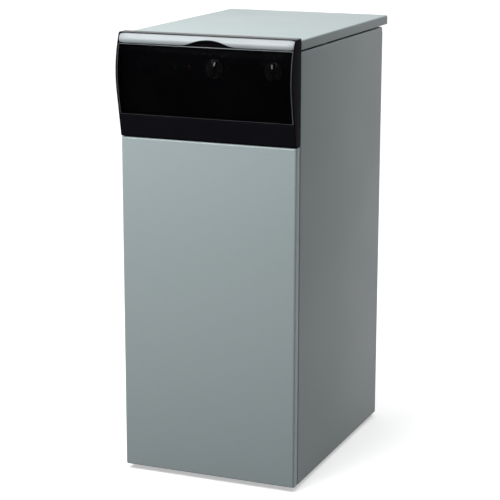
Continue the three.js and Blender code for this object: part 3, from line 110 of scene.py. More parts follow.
class Nodes:
    """A material's node tree, filled one node at a time."""

    def __init__(self, name: str) -> None:
        """Start a material of that name with an empty principled surface."""
        self.material = bpy.data.materials.new(name)
        self.material.use_nodes = True
        self.tree = self.material.node_tree
        self.shader = self.tree.nodes["Principled BSDF"]
        self.place = self.add("ShaderNodeTexCoord").outputs["Object"]

    def add(self, kind: str, **inputs: object) -> bpy.types.Node:
        """Add a node and fill its inputs, each with a value or a socket."""
        return self.settle(self.tree.nodes.new(kind), inputs)

    def settle(self, node: bpy.types.Node, inputs: dict[str, object]) -> bpy.types.Node:
        """Fill a node's inputs.

        Args:
            node: The node.
            inputs: A value or a socket for each input's name, with underscores for spaces.

        Returns:
            The same node.
        """
        for key, value in inputs.items():
            self.fill(node.inputs[key.replace("_", " ")], value)
        return node

    def fill(self, socket: Socket, value: object) -> None:
        """Link a socket to the input, or set the input's value, a colour's with a full alpha."""
        if isinstance(value, Socket):
            self.tree.links.new(value, socket)
        else:
            socket.default_value = (*value, 1) if socket.type == "RGBA" else value

    def noise(self, scale: float, detail: float) -> Socket:
        """Lay a noise from 0 to 1 over the piece, its scale in grains to the metre."""
        node = self.add("ShaderNodeTexNoise", Vector=self.place, Scale=scale, Detail=detail)
        return node.outputs["Fac"]

    def spread(self, source: Socket, low: float, high: float) -> Socket:
        """Spread a socket's middle values between two new ones."""
        ends = {"From_Min": 0.3, "From_Max": 0.7, "To_Min": low, "To_Max": high}
        return self.add("ShaderNodeMapRange", Value=source, **ends).outputs[0]

    def mix(self, share: Socket, first: Colour | Socket, second: Colour | Socket) -> Socket:
        """Mix two colours.

        Args:
            share: How much of the second colour there is.
            first: The colour where the share is 0.
            second: The colour where the share is 1.

        Returns:
            The mixed colour as a socket.
        """
        node = self.tree.nodes.new("ShaderNodeMix")
        node.data_type = "RGBA"
        self.fill(node.inputs["Factor"], share)
        self.fill(node.inputs[6], first)
        self.fill(node.inputs[7], second)
        return node.outputs[2]

    def relief(self, height: Socket, depth: float, strength: float) -> None:
        """Press a height into the surface, depth in metres."""
        bump = self.add("ShaderNodeBump", Height=height, Distance=depth, Strength=strength)
        self.fill(self.shader.inputs["Normal"], bump.outputs[0])

    def surface(self, **inputs: object) -> Material:
        """Fill the principled shader's inputs and return the material."""
        self.settle(self.shader, inputs)
        return self.material


@dataclass(frozen=True)
class Paint:
    """Grey paint on sheet steel, with a clear lacquer over it where it has one."""

    name: str
    colour: Colour
    lacquer: float = 0.0
    lacquer_roughness: float = 0.1
    roughness: float = 0.4
    waver: float = 0.03
    gloss: float = 0.22
    flakes: float = 2600
    flake_shade: float = 0.06
    peel: float = 420
    peel_depth: float = 0.00006

    def make(self) -> Material:
        """Return the paint with its flake, orange peel, clear lacquer and faint unevenness."""
        n = Nodes(self.name)
        flake = n.spread(n.noise(self.flakes, 1), 0.0, 1.0)
        dark, pale = (shaded(self.colour, 1 + s * self.flake_shade) for s in (-1, 1))
        low, high = self.roughness - self.waver, self.roughness + self.waver
        n.relief(n.noise(self.peel, 2), self.peel_depth, 0.35)
        return n.surface(
            Base_Color=n.mix(flake, dark, pale),
            Roughness=n.spread(n.noise(5, 3), low, high),
            Specular_IOR_Level=self.gloss,
            Coat_Weight=self.lacquer,
            Coat_Roughness=self.lacquer_roughness,
        )


@dataclass(frozen=True)
class Plastic:
    """Moulded plastic with a fine grain."""

    name: str
    colour: Colour
    roughness: float = 0.45
    grain: float = 1500
    depth: float = 0.00004
    gloss: float = 0.4
    alpha: float = 1.0
    waver: float = 0.07

    def make(self) -> Material:
        """Return the plastic with its moulded grain and faint wear."""
        n = Nodes(self.name)
        wear = n.spread(n.noise(14, 4), 0.0, 1.0)
        low, high = self.roughness * (1 - self.waver), self.roughness * (1 + self.waver)
        n.relief(n.noise(self.grain, 2), self.depth, 0.4)
        return n.surface(
            Base_Color=n.mix(wear, self.colour, shaded(self.colour, 1.12, 0.001)),
            Roughness=n.spread(n.noise(30, 3), low, high),
            Specular_IOR_Level=self.gloss,
            Alpha=self.alpha,
        )


@dataclass(frozen=True)
class Metal:
    """Bare metal: rolled, cast, drawn or turned."""

    name: str
    colour: Colour
    roughness: float = 0.4
    metallic: float = 1.0
    grain: float = 300
    depth: float = 0.00004
    waver: float = 0.08

    def make(self) -> Material:
        """Return the metal with its grain, stains and unevenness."""
        n = Nodes(self.name)
        grain = n.noise(self.grain, 4)
        stain = n.spread(n.noise(9, 4), 0.0, 1.0)
        n.relief(grain, self.depth, 0.5)
        return n.surface(
            Base_Color=n.mix(stain, self.colour, shaded(self.colour, 0.8)),
            Roughness=n.spread(grain, self.roughness - self.waver, self.roughness + self.waver),
            Metallic=self.metallic,
        )


@dataclass(frozen=True)
class Glass:
    """Clear glass or clear plastic."""

    name: str
    colour: Colour = (0.95, 0.97, 0.97)
    index: float = 1.09

    def make(self) -> Material:
        """Return the glass with faint smears."""
        n = Nodes(self.name)
        return n.surface(
            Base_Color=self.colour,
            Roughness=n.spread(n.noise(60, 3), 0.01, 0.06),
            Transmission_Weight=1.0,
            IOR=self.index,
        )


FINISHES: tuple[Paint | Plastic | Metal | Glass, ...] = (
    Paint("grey_paint", linear(153, 165, 166)),
    Paint("lacquered_paint", linear(150, 162, 163), lacquer=0.3),
    Metal("plain_steel", linear(168, 171, 173), 0.45),
    Plastic("black_plastic", linear(15, 14, 18), 0.45, gloss=0.007),
    Plastic("glossy_black", linear(12, 14, 19), 0.3, gloss=0.19),
    Plastic("silver_plastic", linear(150, 156, 159), 0.36, gloss=0.3),
    Plastic("smoked_plastic", linear(1, 1, 2), 0.08, 40, 0.00001, 0.006, alpha=0.34),
    # painted highlight: a pale grey on the smoked flap's edge faces stands in for the light line
    # along them
    Plastic("painted_edge_highlight", linear(98, 102, 104), 0.2, 40, 0.00001, gloss=0.4),
    Plastic("dark_panel", linear(5, 5, 7), 0.6, gloss=0.02),
    Plastic("knob_plastic", linear(8, 8, 10), 0.16, gloss=0.12),
    Plastic("white_plastic", linear(226, 226, 220)),
    Plastic("red_plastic", linear(30, 4, 5), 0.25, gloss=0.03),
    Plastic("pale_print", linear(78, 80, 83), 0.6, gloss=0.1),
    Metal("cast_iron", linear(70, 70, 72), 0.7, 0.6, grain=500, depth=0.0004),
    Metal("brass", linear(190, 158, 96), 0.32, grain=900, depth=0.00001),
    Metal("copper", linear(196, 128, 92), 0.3, grain=900, depth=0.00001),
    Glass("clear_glass"),
    Plastic("wool", linear(188, 184, 170), 0.95, 380, 0.0006, gloss=0.05),
    Plastic("rubber", linear(28, 28, 28), 0.85, 600, 0.0001, gloss=0.2),
)


# Modelling by hand


class Kind(Enum):
    """What a selection picks."""

    POINTS = "VERT"
    EDGES = "EDGE"
    FACES = "FACE"


class Hand:
    """One mesh, worked on as by hand in edit mode."""

    def __init__(self, name: str) -> None:
        """Take up the object just added under a new name, and settle its place and size."""
        self.obj = bpy.context.object
        self.obj.name = name
        self.obj.data.name = name
        bpy.ops.object.transform_apply(location=True, rotation=True, scale=True)

    @staticmethod
    def free() -> None:
        """Leave edit mode and drop every selection."""
        if bpy.context.object and bpy.context.object.mode != "OBJECT":
            bpy.ops.object.mode_set(mode="OBJECT")
        bpy.ops.object.select_all(action="DESELECT")

    @classmethod
    def block(cls, name: str, low: Point, high: Point) -> "Hand":
        """Add a cube between two corners."""
        cls.free()
        a, b = Vector(low), Vector(high)
        bpy.ops.mesh.primitive_cube_add(size=1, location=(a + b) / 2, scale=b - a)
        return cls(name)

    @classmethod
    def rod(cls, name: str, start: Point, end: Point, radius: float, sides: int = 48) -> "Hand":
        """Add a cylinder between two points.

        Args:
            name: The object's name.
            start: The middle of one end.
            end: The middle of the other end.
            radius: Its radius.
            sides: How many sides it has.

        Returns:
            The cylinder in hand.
        """
        cls.free()
        a, b = Vector(start), Vector(end)
        turn = (b - a).to_track_quat("Z", "Y").to_euler()
        middle, length = (a + b) / 2, (b - a).length
        bpy.ops.mesh.primitive_cylinder_add(
            vertices=sides, radius=radius, depth=length, location=middle, rotation=turn
        )
        return cls(name)

    @classmethod
    def line(cls, name: str, points: list[Point]) -> "Hand":
        """Draw a line of edges by extruding one point along a list of places."""
        cls.free()
        bpy.ops.mesh.primitive_plane_add(size=0.001, location=(0, 0, 0))
        hand = cls(name)
        hand.edit()
        bpy.ops.mesh.select_mode(type=Kind.POINTS.value)
        hand.every()
        bpy.ops.mesh.merge(type="CENTER")
        hand.shift(points[0])
        for a, b in zip(points, points[1:]):
            hand.extrude(Vector(b) - Vector(a))
        return hand

    @classmethod
    def outline(cls, name: str, points: list[Point], depth: Point) -> "Hand":
        """Fill a closed outline and extrude it.

        Args:
            name: The object's name.
            points: The outline's corners.
            depth: How far and which way it is extruded.

        Returns:
            The solid in hand.
        """
        hand = cls.line(name, points).every()
        bpy.ops.mesh.edge_face_add()
        return hand.extrude(depth).tidy()

    @classmethod
    def turned(
        cls, name: str, start: Point, axis: Point, profile: list[Spot], steps: int
    ) -> "Hand":
        """Spin a profile about an axis.

        Args:
            name: The object's name.
            start: The point from which distances along the axis count.
            axis: The axis's direction.
            profile: Points as radius and distance along the axis.
            steps: How many steps the full turn has.

        Returns:
            The turned piece in hand.
        """
        way = Vector(axis).normalized()
        side = way.orthogonal().normalized()
        points = [Vector(start) + side * r + way * d for r, d in profile]
        hand = cls.line(name, points).every()
        bpy.ops.mesh.spin(steps=steps, angle=2 * math.pi, center=start, axis=way)
        return hand.tidy()

    def edit(self) -> bmesh.types.BMesh:
        """Go into edit mode on this mesh and return it."""
        if bpy.context.object is not self.obj or self.obj.mode != "EDIT":
            self.hold()
            bpy.ops.object.mode_set(mode="EDIT")
        return bmesh.from_edit_mesh(self.obj.data)

    def hold(self) -> "Hand":
        """Select only this object, in object mode."""
        self.free()
        self.obj.select_set(True)
        bpy.context.view_layer.objects.active = self.obj
        return self

    def every(self) -> "Hand":
        """Select the whole mesh."""
        self.edit()
        bpy.ops.mesh.select_all(action="SELECT")
        return self

    def pick(self, kind: Kind, wanted: Test) -> "Hand":
        """Select the points, edges or faces that a test wants.

        Args:
            kind: What is selected.
            wanted: Takes a middle, and a point's or face's normal or an edge's direction.

        Returns:
            The piece in hand.
        """
        self.edit()
        bpy.ops.mesh.select_mode(type=kind.value)
        bpy.ops.mesh.select_all(action="DESELECT")
        mesh = bmesh.from_edit_mesh(self.obj.data)
        mesh.normal_update()
        if kind is Kind.POINTS:
            found = [v for v in mesh.verts if wanted(v.co, v.normal)]
        elif kind is Kind.EDGES:
            ends = [(e, e.verts[0].co, e.verts[1].co) for e in mesh.edges]
            found = [e for e, a, b in ends if wanted((a + b) / 2, (b - a).normalized())]
        else:
            found = [f for f in mesh.faces if wanted(f.calc_center_median(), f.normal)]
        for element in found:
            element.select_set(True)
        mesh.select_flush_mode()
        bmesh.update_edit_mesh(self.obj.data)
        return self

    def ease(self, wanted: Test, radius: float, segments: int) -> "Hand":
        """Round the edges that a test wants."""
        self.pick(Kind.EDGES, wanted)
        bpy.ops.mesh.bevel(offset=radius, segments=segments, affect="EDGES")
        return self

    def strip(self, wanted: Test) -> "Hand":
        """Delete the faces that a test wants."""
        self.pick(Kind.FACES, wanted)
        bpy.ops.mesh.delete(type=Kind.FACES.value)
        return self

    def shift(self, by: Point) -> "Hand":
        """Move what is selected."""
        bpy.ops.transform.translate(value=by)
        return self

    def extrude(self, by: Point) -> "Hand":
        """Extrude what is selected."""
        bpy.ops.mesh.extrude_region_move(TRANSFORM_OT_translate={"value": by})
        return self

    def bisect(self, through: Point, normal: Point) -> "Hand":
        """Cut new edges across the whole mesh along a plane."""
        self.every()
        bpy.ops.mesh.bisect(plane_co=through, plane_no=normal)
        return self

    def tidy(self) -> "Hand":
        """Merge doubled points and turn the normals outwards."""
        self.every()
        bpy.ops.mesh.remove_doubles(threshold=0.000001)
        bpy.ops.mesh.normals_make_consistent(inside=False)
        return self

    def facing(self, way: Point) -> "Hand":
        """Turn an open sheet's normals so that most of them face one way."""
        mesh = self.edit()
        total = sum((f.normal * f.calc_area() for f in mesh.faces), Vector())
        if total.dot(Vector(way)) < 0:
            self.every()
            bpy.ops.mesh.flip_normals()
        return self

    def move(self, place: Callable[[Vector], Vector]) -> "Hand":
        """Move every point to where a function puts it."""
        mesh = self.edit()
        for point in mesh.verts:
            point.co = place(point.co)
        bmesh.update_edit_mesh(self.obj.data)
        return self

    def change(self, kind: str, **settings: object) -> "Hand":
        """Add a modifier with its settings and apply it."""
        self.hold()
        modifier = self.obj.modifiers.new("change", kind)
        for key, value in settings.items():
            setattr(modifier, key, value)
        bpy.ops.object.modifier_apply(modifier=modifier.name)
        return self

    def wall(self, thickness: float) -> "Hand":
        """Give an open sheet a thickness, on the side away from its normals."""
        return self.change("SOLIDIFY", thickness=thickness, offset=-1, use_even_offset=True)

    def soften(self, width: float, segments: int = 2, angle: float = 50) -> "Hand":
        """Round every edge that is sharper than an angle in degrees."""
        return self.change(
            "BEVEL",
            width=width,
            segments=segments,
            limit_method="ANGLE",
            angle_limit=math.radians(angle),
        )

    def cut(self, *tools: "Hand") -> "Hand":
        """Cut other pieces out of this one and throw them away."""
        for tool in tools:
            tool.free()
            self.change("BOOLEAN", operation="DIFFERENCE", solver="EXACT", object=tool.obj)
            bpy.data.objects.remove(tool.obj)
        return self

    def join(self, *others: "Hand") -> "Hand":
        """Join other pieces to this one."""
        self.hold()
        for other in others:
            other.obj.select_set(True)
        bpy.ops.object.join()
        return self

    def paint(self, material: Material) -> "Hand":
        """Give the whole piece one finish."""
        self.hold()
        self.obj.data.materials.clear()
        self.obj.data.materials.append(material)
        return self

    def two_tone(self, main: Material, other: Material, wanted: Test) -> "Hand":
        """Give the piece one finish, and another to some faces.

        Args:
            main: The first finish.
            other: The other one.
            wanted: Takes a face's middle and normal, and says whether it gets the other one.

        Returns:
            The piece in hand.
        """
        self.paint(main).obj.data.materials.append(other)
        for face in self.obj.data.polygons:
            face.material_index = int(wanted(face.center, face.normal))
        return self

    def ring(self, centre: Point, angles: list[float]) -> "Hand":
        """Copy the piece round a front-to-back axis, once for each angle in radians."""
        there, back = Matrix.Translation(centre), Matrix.Translation(-Vector(centre))
        return self.copies("copy", [there @ Matrix.Rotation(a, 4, "Y") @ back for a in angles])

    def copies(self, name: str, matrices: list[Matrix]) -> "Hand":
        """Put copies of the piece in its place, one for each matrix, and join them."""
        twins = [self.copy(name, matrix) for matrix in matrices]
        bpy.data.objects.remove(self.obj)
        return twins[0].join(*twins[1:])

    def copy(self, name: str, matrix: Matrix) -> "Hand":
        """Copy the piece, with its own mesh.

        Args:
            name: The copy's name.
            matrix: Moves the copy's points.

        Returns:
            The copy in hand.
        """
        self.hold()
        bpy.ops.object.duplicate()
        twin = Hand(name).move(lambda co: matrix @ co)
        if matrix.determinant() < 0:
            twin.every()
            bpy.ops.mesh.flip_normals()
        return twin.hold()


class Bench:
    """Keeps the finishes and puts finished pieces in place."""

    def __init__(self) -> None:
        """Make every finish once."""
        self.materials = {finish.name: finish.make() for finish in FINISHES}

    def place(
        self, hand: Hand, finish: str, body: str, *nodes: str, angle: float = SMOOTH
    ) -> None:
        """Finish a piece and mount it on its body.

        Args:
            hand: The piece.
            finish: Its finish's name.
            body: The CAD body that it rides on.
            *nodes: The CAD nodes that it stands for.
            angle: The edge angle in degrees under which it is shaded smooth.
        """
        obj = hand.hold().obj
        if not obj.data.materials:
            obj.data.materials.append(self.materials[finish])
        bpy.ops.object.shade_smooth_by_angle(angle=math.radians(angle))
        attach(obj, body)
        if nodes:
            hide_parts(*nodes)
        log.info("%s: %d faces", obj.name, len(obj.data.polygons))

    def dress(self) -> None:
        """Put the better finishes on the CAD nodes' slots and shade their rounds smooth."""
        for node in [o for o in bpy.context.scene.objects if "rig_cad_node" in o]:
            Hand.free()
            node.select_set(True)
            bpy.context.view_layer.objects.active = node
            bpy.ops.object.shade_smooth_by_angle(angle=math.radians(SMOOTH))
            for slot in node.material_slots:
                plain = slot.material.name.split(".")[0] if slot.material else ""
                if plain in self.materials:
                    slot.material = self.materials[plain]


# Sub-assemblies


@dataclass
class Casing:
    """The painted sheet metal: side panels, front door and top cover."""

    sheet: float = 0.0012
    bend: float = 0.003
    front: float = 0.0215
    rear: float = 0.490
    low: float = 0.010
    top: float = 0.8285
    top_return: float = 0.018
    rim: float = 0.0008
    tuck: float = 0.003
    tuck_height: float = 0.012
    door_top: float = 0.657
    door_depth: float = 0.0172
    door_corner: float = 0.0043
    door_bend: float = 0.0034
    cover_low: float = 0.832
    cover_top: float = 0.8495
    cover_rear: float = 0.524
    cover_front_corner: float = 0.0035
    cover_rear_corner: float = 0.007
    peg_x: float = 0.1655
    peg_ys: tuple[float, float] = (0.1535, 0.430)
    peg_hole: float = 0.0033
    stud_x: float = 0.140
    stud_zs: tuple[float, float] = (0.0643, 0.6427)

    def build(self, bench: Bench) -> None:
        """Build every painted piece."""
        panel = self.side_panel()
        twin = panel.copy("left_panel", Matrix.Scale(-1, 4, Vector((1, 0, 0))))
        bench.place(panel, "grey_paint", "casing", "right_side_panel")
        bench.place(twin, "grey_paint", "casing", "left_side_panel")
        bench.place(self.door(), "lacquered_paint", "door", "front_door")
        bench.place(self.cover(), "grey_paint", "cover", "top_cover")

    def side_panel(self) -> Hand:
        """Fold the right side panel, with peg holes in its top edge."""
        y0, y1 = self.front + FACE, self.rear + FACE
        inner, skin = HALF - self.top_return, HALF - self.bend - 0.0005
        hand = Hand.block("right_panel", (inner, y0, self.low), (HALF, y1, self.top))
        hand.strip(lambda c, n: n.x < -0.5 or n.z < -0.5)
        upright = lambda c, d: abs(d.z) > ALONG and c.x > HALF - 0.001
        rim = lambda c, d: c.x > skin and c.z > self.top - NEAR and abs(d.z) < 1 - ALONG
        hand.ease(upright, self.bend, 5).ease(rim, self.rim, 2)
        low = self.top - self.tuck_height
        hand.bisect((0, 0, low), (0, 0, 1))
        corner = lambda c, n: c.z > low + 0.002 and c.y > y1 - self.tuck - NEAR and c.x > skin
        hand.pick(Kind.POINTS, corner).shift((0, -self.tuck, 0))
        hand.tidy().wall(self.sheet)
        return hand.cut(*[self.hole(y + FACE) for y in self.peg_ys])

    def hole(self, y: float) -> Hand:
        """Make the rod that cuts one peg's hole into the right side panel."""
        low, high = ((self.peg_x, y, self.top + rise) for rise in (-0.01, 0.01))
        return Hand.rod("hole", low, high, self.peg_hole)

    def door(self) -> Hand:
        """Fold the front door as an open pan, with a ball stud near each corner."""
        back = FACE + self.door_depth
        hand = Hand.block("door_panel", (-HALF, FACE, self.low), (HALF, back, self.door_top))
        hand.strip(lambda c, n: n.y > 0.5)
        upright = lambda c, d: abs(d.z) > ALONG and c.y < FACE + NEAR
        hand.ease(upright, self.door_corner, 8)
        folded = FACE + self.door_corner + NEAR
        ends = lambda c: c.z < self.low + NEAR or c.z > self.door_top - NEAR
        level = lambda c, d: ends(c) and c.y < folded and abs(d.y) < 0.99
        hand.ease(level, self.door_bend, 5).tidy().wall(self.sheet)
        return hand.join(*[self.stud(s * self.stud_x, z) for s in (-1, 1) for z in self.stud_zs])

    def stud(self, x: float, z: float) -> Hand:
        """Turn one ball stud on the door's inner face."""
        ball, radius, neck = 0.0167, 0.004, 0.0025
        profile = [(0.004, 0.0008), (0.004, 0.0018), (neck, 0.0022), (neck, ball - 0.0031)]
        for turn in (-0.9, -0.45, 0, 0.4, 0.8, 1.2):
            profile.append((radius * math.cos(turn), ball + radius * math.sin(turn)))
        profile.append((0, ball + radius))
        return Hand.turned("stud", (x, FACE, z), (0, 1, 0), profile, 32)

    def cover(self) -> Hand:
        """Fold the top cover as a pan turned upside down, with four pegs."""
        y0, y1 = self.front + FACE, self.cover_rear + FACE
        low, high = (-HALF, y0, self.cover_low), (HALF, y1, self.cover_top)
        hand = Hand.block("cover_pan", low, high).strip(lambda c, n: n.z < -0.5)
        hand.ease(lambda c, d: abs(d.z) > ALONG and c.y > 0, self.cover_rear_corner, 8)
        front = lambda c, d: abs(d.z) > ALONG and c.y < y0 + NEAR
        hand.ease(front, self.cover_front_corner, 5)
        hand.ease(lambda c, d: c.z > self.cover_top - NEAR, self.bend, 5)
        hand.tidy().wall(self.sheet)
        return hand.join(*[self.peg(s * self.peg_x, y) for s in (-1, 1) for y in self.peg_ys])

    def peg(self, x: float, y: float) -> Hand:
        """Turn one locating peg with its shoulder."""
        low, seat, top = self.top - 0.009, self.top + 0.0003, self.cover_top - self.sheet
        profile = [(0, low), (0.0018, low), (0.003, low + 0.0012), (0.003, seat)]
        profile += [(0.0055, seat), (0.006, seat + 0.0005), (0.006, top)]
        return Hand.turned("peg", (x, y + FACE, 0), (0, 0, 1), profile, 32)


@dataclass
class Fascia:
    """The bulged black fascia with its silver trim and smoked flap."""

    wall: float = 0.0025
    low: float = 0.658
    top: float = 0.853
    rear: float = 0.021
    corner: float = 0.005
    corner_steps: int = 6
    bulge: float = 0.0204
    crown: float = 0.778
    radius: float = 0.175
    lean: float = 0.192
    outer_edge: float = 0.0016
    inner_edge: float = 0.0004
    groove_y: float = 0.0095
    groove_width: float = 0.0006
    groove_depth: float = 0.0004
    band_top: float = 0.700
    band_edge: float = 0.0008
    trim_low: float = 0.8334
    trim_top: float = 0.8516
    trim_gap: float = 0.0003
    trim_thickness: float = 0.0022
    roll: float = 0.0050
    recess: float = 0.0022
    end_fall: float = 0.006
    end_radius: float = 0.007
    notch_x: float = 0.007
    notch_half: float = 0.0575
    notch_height: float = 0.012
    pocket_inset: float = 0.0025
    pocket_drop: float = 0.0012
    pocket_depth: float = 0.011
    ledge: float = -0.0013
    plate_top: float = 0.842
    flap_top: float = 0.8324
    flap_end: float = 0.1717
    flap_thickness: float = 0.0025
    flap_lip: float = 0.005
    hinge_z: float = 0.7042
    bead: float = 0.0032
    pin: float = 0.002
    pin_reach: float = 0.0024

    def depth(self, z: float, inset: float = 0.0) -> float:
        """Find where the bulged front lies.

        Args:
            z: The height.
            inset: How far inside the front's outer face the place is.

        Returns:
            How far behind the door's face it lies.
        """
        radius = self.radius - inset
        centre = self.radius - self.bulge
        lean_z = self.crown - radius * math.sin(self.lean)
        if z < lean_z:
            return centre - radius * math.cos(self.lean) + (lean_z - z) * math.tan(self.lean)
        return centre - math.sqrt(radius**2 - (z - self.crown) ** 2)

    def arc(self, z0: float, z1: float, inset: float, steps: int) -> list[Spot]:
        """Follow the bulged front between two heights, as depth and height."""
        heights = [z0 + (z1 - z0) * k / steps for k in range(steps + 1)]
        return [(self.depth(z, inset), z) for z in heights]

    def rounding(self, z: float, start: float, end: float) -> list[Spot]:
        """Follow the rounded corner that meets the bulged front.

        Args:
            z: The height where they meet.
            start: The first angle, in radians from the way to the rear.
            end: The last angle.

        Returns:
            Points on the corner, as depth and height.
        """
        y, steps = self.depth(z) + self.corner, self.corner_steps
        turns = [start + (end - start) * k / steps for k in range(steps + 1)]
        return [(y + self.corner * math.cos(t), z + self.corner * math.sin(t)) for t in turns]

    @staticmethod
    def lay(x: float, points: list[Spot]) -> list[Point]:
        """Stand a side view, as depth and height, at a place across."""
        return [(x, y + FACE, z) for y, z in points]

    def build(self, bench: Bench) -> None:
        """Build the fascia's pieces."""
        materials = bench.materials
        frame = self.cheek(1).join(self.cheek(-1), self.band(), self.crest())
        upper = lambda c, n: c.z > self.top - self.corner and n.z > 0.5
        frame.two_tone(materials["black_plastic"], materials["glossy_black"], upper)
        bench.place(frame, "black_plastic", "casing", "fascia_frame", angle=40)
        bench.place(self.trim(), "silver_plastic", "casing", "fascia_trim", angle=40)
        flap = self.flap()
        # the flap's edge faces get a pale grey that is a painted highlight
        flap.two_tone(materials["smoked_plastic"], materials["painted_edge_highlight"], self.on_flap_edge)
        bench.place(flap, "smoked_plastic", "flap", "control_flap")

    def on_flap_edge(self, centre: Vector, normal: Vector) -> bool:
        """Say whether one of the flap's faces gets the painted highlight along its edges."""
        above = centre.z > self.flap_top - 0.0012
        below = centre.z < self.hinge_z - 0.0018 and normal.y < -0.2
        beside = abs(centre.x) > self.flap_end - 0.0012 and abs(normal.x) < 0.98
        return above or below or beside

    def cheek(self, side: int) -> Hand:
        """Shape one end wall with a rounded outer edge and a fine groove; 1 is the right side."""
        low, top = self.low + self.corner, self.top - self.corner
        points = [(self.rear, self.low), *self.rounding(low, 1.5 * math.pi, math.pi)]
        points += self.arc(low, top, 0, 40)[1:-1]
        points += [*self.rounding(top, math.pi, math.pi / 2), (self.rear, self.top)]
        inner, back = HALF - self.wall, self.rear + FACE - NEAR
        hand = Hand.outline("cheek", self.lay(inner, points), (self.wall, 0, 0))
        edge = lambda x: lambda c, d: abs(c.x - x) < NEAR and c.y < back and abs(d.x) < 0.5
        hand.ease(edge(HALF), self.outer_edge, 4).ease(edge(inner), self.inner_edge, 2)
        near = FACE + self.groove_y
        far = near + self.groove_width
        hand.bisect((0, near, 0), (0, 1, 0)).bisect((0, far, 0), (0, 1, 0))
        groove = lambda c, n: n.x > ALONG and near < c.y < far
        hand.pick(Kind.FACES, groove).extrude((-self.groove_depth, 0, 0)).tidy()
        if side < 0:
            hand.move(lambda co: Vector((-co.x, co.y, co.z))).tidy()
        return hand

    def band(self) -> Hand:
        """Bend the plain lower band with its bottom and its top ledge."""
        low = self.low + self.corner
        points = [(self.rear, self.low), *self.rounding(low, 1.5 * math.pi, math.pi)]
        points += self.arc(low, self.band_top - self.band_edge, 0, 8)[1:]
        points.append((self.depth(self.band_top) + self.band_edge, self.band_top))
        points.append((self.ledge, self.band_top))
        x = HALF - self.wall
        hand = Hand.line("band", self.lay(-x, points)).every().extrude((2 * x, 0, 0))
        return hand.tidy().facing((0, -1, 0)).wall(self.wall)

    def crest(self) -> Hand:
        """Shape the top: the lip above the trim, the trim's seat and a fingertip's pocket."""
        lip = self.trim_top + self.trim_gap
        inner, under = self.ledge + self.wall, self.top - self.wall
        rounded = math.pi - math.asin((lip - self.top) / self.corner + 1)
        points = [(self.rear, self.top)]
        points += self.rounding(self.top - self.corner, math.pi / 2, rounded)
        points += self.arc(lip, self.trim_low, self.wall, 8)
        points += [(self.ledge, self.trim_low), (self.ledge, self.plate_top)]
        points += [(inner, self.plate_top), (inner, under), (self.rear, under)]
        x = HALF - self.wall
        hand = Hand.outline("crest", self.lay(-x, points), (2 * x, 0, 0))
        half, rise = self.notch_half - self.pocket_inset, self.notch_height - self.pocket_drop
        line, low = self.notch_line(half, rise, 10), self.trim_low - 0.002
        closed = [(line[0][0], low), *line, (line[-1][0], low)]
        depth = self.depth(self.trim_low) + FACE + self.pocket_depth
        tool = Hand.outline("tool", [(x, depth, z) for x, z in closed], (0, -0.04, 0))
        return hand.cut(tool)

    def notch_line(self, half: float, height: float, steps: int) -> list[Spot]:
        """Draw the finger notch's flared line.

        Args:
            half: Half its width.
            height: Its height in the middle.
            steps: How many steps each half has.

        Returns:
            Its points from left to right, as x and height.
        """
        flare, shoulder = half * 0.62, half * 0.5
        line = []
        for k in range(steps + 1):
            t = k / steps
            s = 1 - t
            x = -half * s**3 - 3 * flare * s * s * t - 3 * shoulder * s * t * t
            line.append((x, height * (3 * s * t * t + t**3)))
        mirrored = [(-x, z) for x, z in reversed(line[:-1])]
        return [(self.notch_x + x, self.trim_low + z) for x, z in line + mirrored]

    def trim(self) -> Hand:
        """Shape the silver band, rolled and notched in the middle of its lower edge."""
        end, steps = HALF - self.wall - self.trim_gap, 12
        first, last = self.notch_half - self.notch_x, self.notch_half + self.notch_x
        left = [-end + (end - first) * k / steps for k in range(steps)]
        right = [last + (end - last) * k / steps for k in range(1, steps + 1)]
        line = [(x, self.trim_low) for x in left]
        line += self.notch_line(self.notch_half, self.notch_height, 16)
        line += [(x, self.trim_low) for x in right]
        hand = Hand.line("trim_band", [(x, 0, z) for x, z in line]).every()
        hand.extrude((0, 0, self.notch_height * 2))
        bpy.ops.transform.resize(value=(1, 1, 0), center_override=(0, 0, self.trim_top))
        hand.pick(Kind.EDGES, lambda c, d: abs(d.z) > 0.99)
        bpy.ops.mesh.subdivide(number_cuts=7)
        middle, reach = (self.trim_low + self.trim_top) / 2, (self.trim_top - self.trim_low) / 2

        def roll(co: Vector) -> Vector:
            """Lay a point on the rolled band, which falls back a little towards its ends."""
            swell = self.roll * (1 - ((co.z - middle) / reach) ** 2) - self.recess
            past = max(0.0, abs(co.x) - end + self.end_fall)
            y = self.depth(co.z) - swell + past * past / (2 * self.end_radius)
            return Vector((co.x, FACE + y, co.z))

        hand.move(roll).tidy().facing((0, -1, 0))
        return hand.wall(self.trim_thickness).soften(0.0005, 3)

    def flap(self) -> Hand:
        """Shape the smoked flap: curved sheet, lip along the top, bead and pins at the bottom."""
        thick, r, z0 = self.flap_thickness, self.bead, self.hinge_z
        y0 = self.depth(z0, r)
        rise = math.sqrt(r**2 - (r - thick) ** 2)
        lip = self.depth(self.flap_top, thick) + self.flap_lip
        points = self.arc(z0, self.flap_top, 0, 40)
        points += [(lip, self.flap_top), (lip, self.flap_top - thick)]
        points += self.arc(self.flap_top - thick, z0 + rise, thick, 40)
        start = math.atan2(rise, thick - r)
        turns = [start - (start + math.pi) * k / 16 for k in range(1, 16)]
        points += [(y0 + r * math.cos(t), z0 + r * math.sin(t)) for t in turns]
        x = self.flap_end
        hand = Hand.outline("flap_window", self.lay(-x, points), (2 * x, 0, 0))
        hand.soften(0.0007, 3, 60)
        pins = []
        for side in (-1, 1):
            ends = [(side * reach, y0 + FACE, z0) for reach in (x - 0.0005, x + self.pin_reach)]
            pins.append(Hand.rod("pin", *ends, self.pin, 24).soften(0.0003))
        return hand.join(*pins)


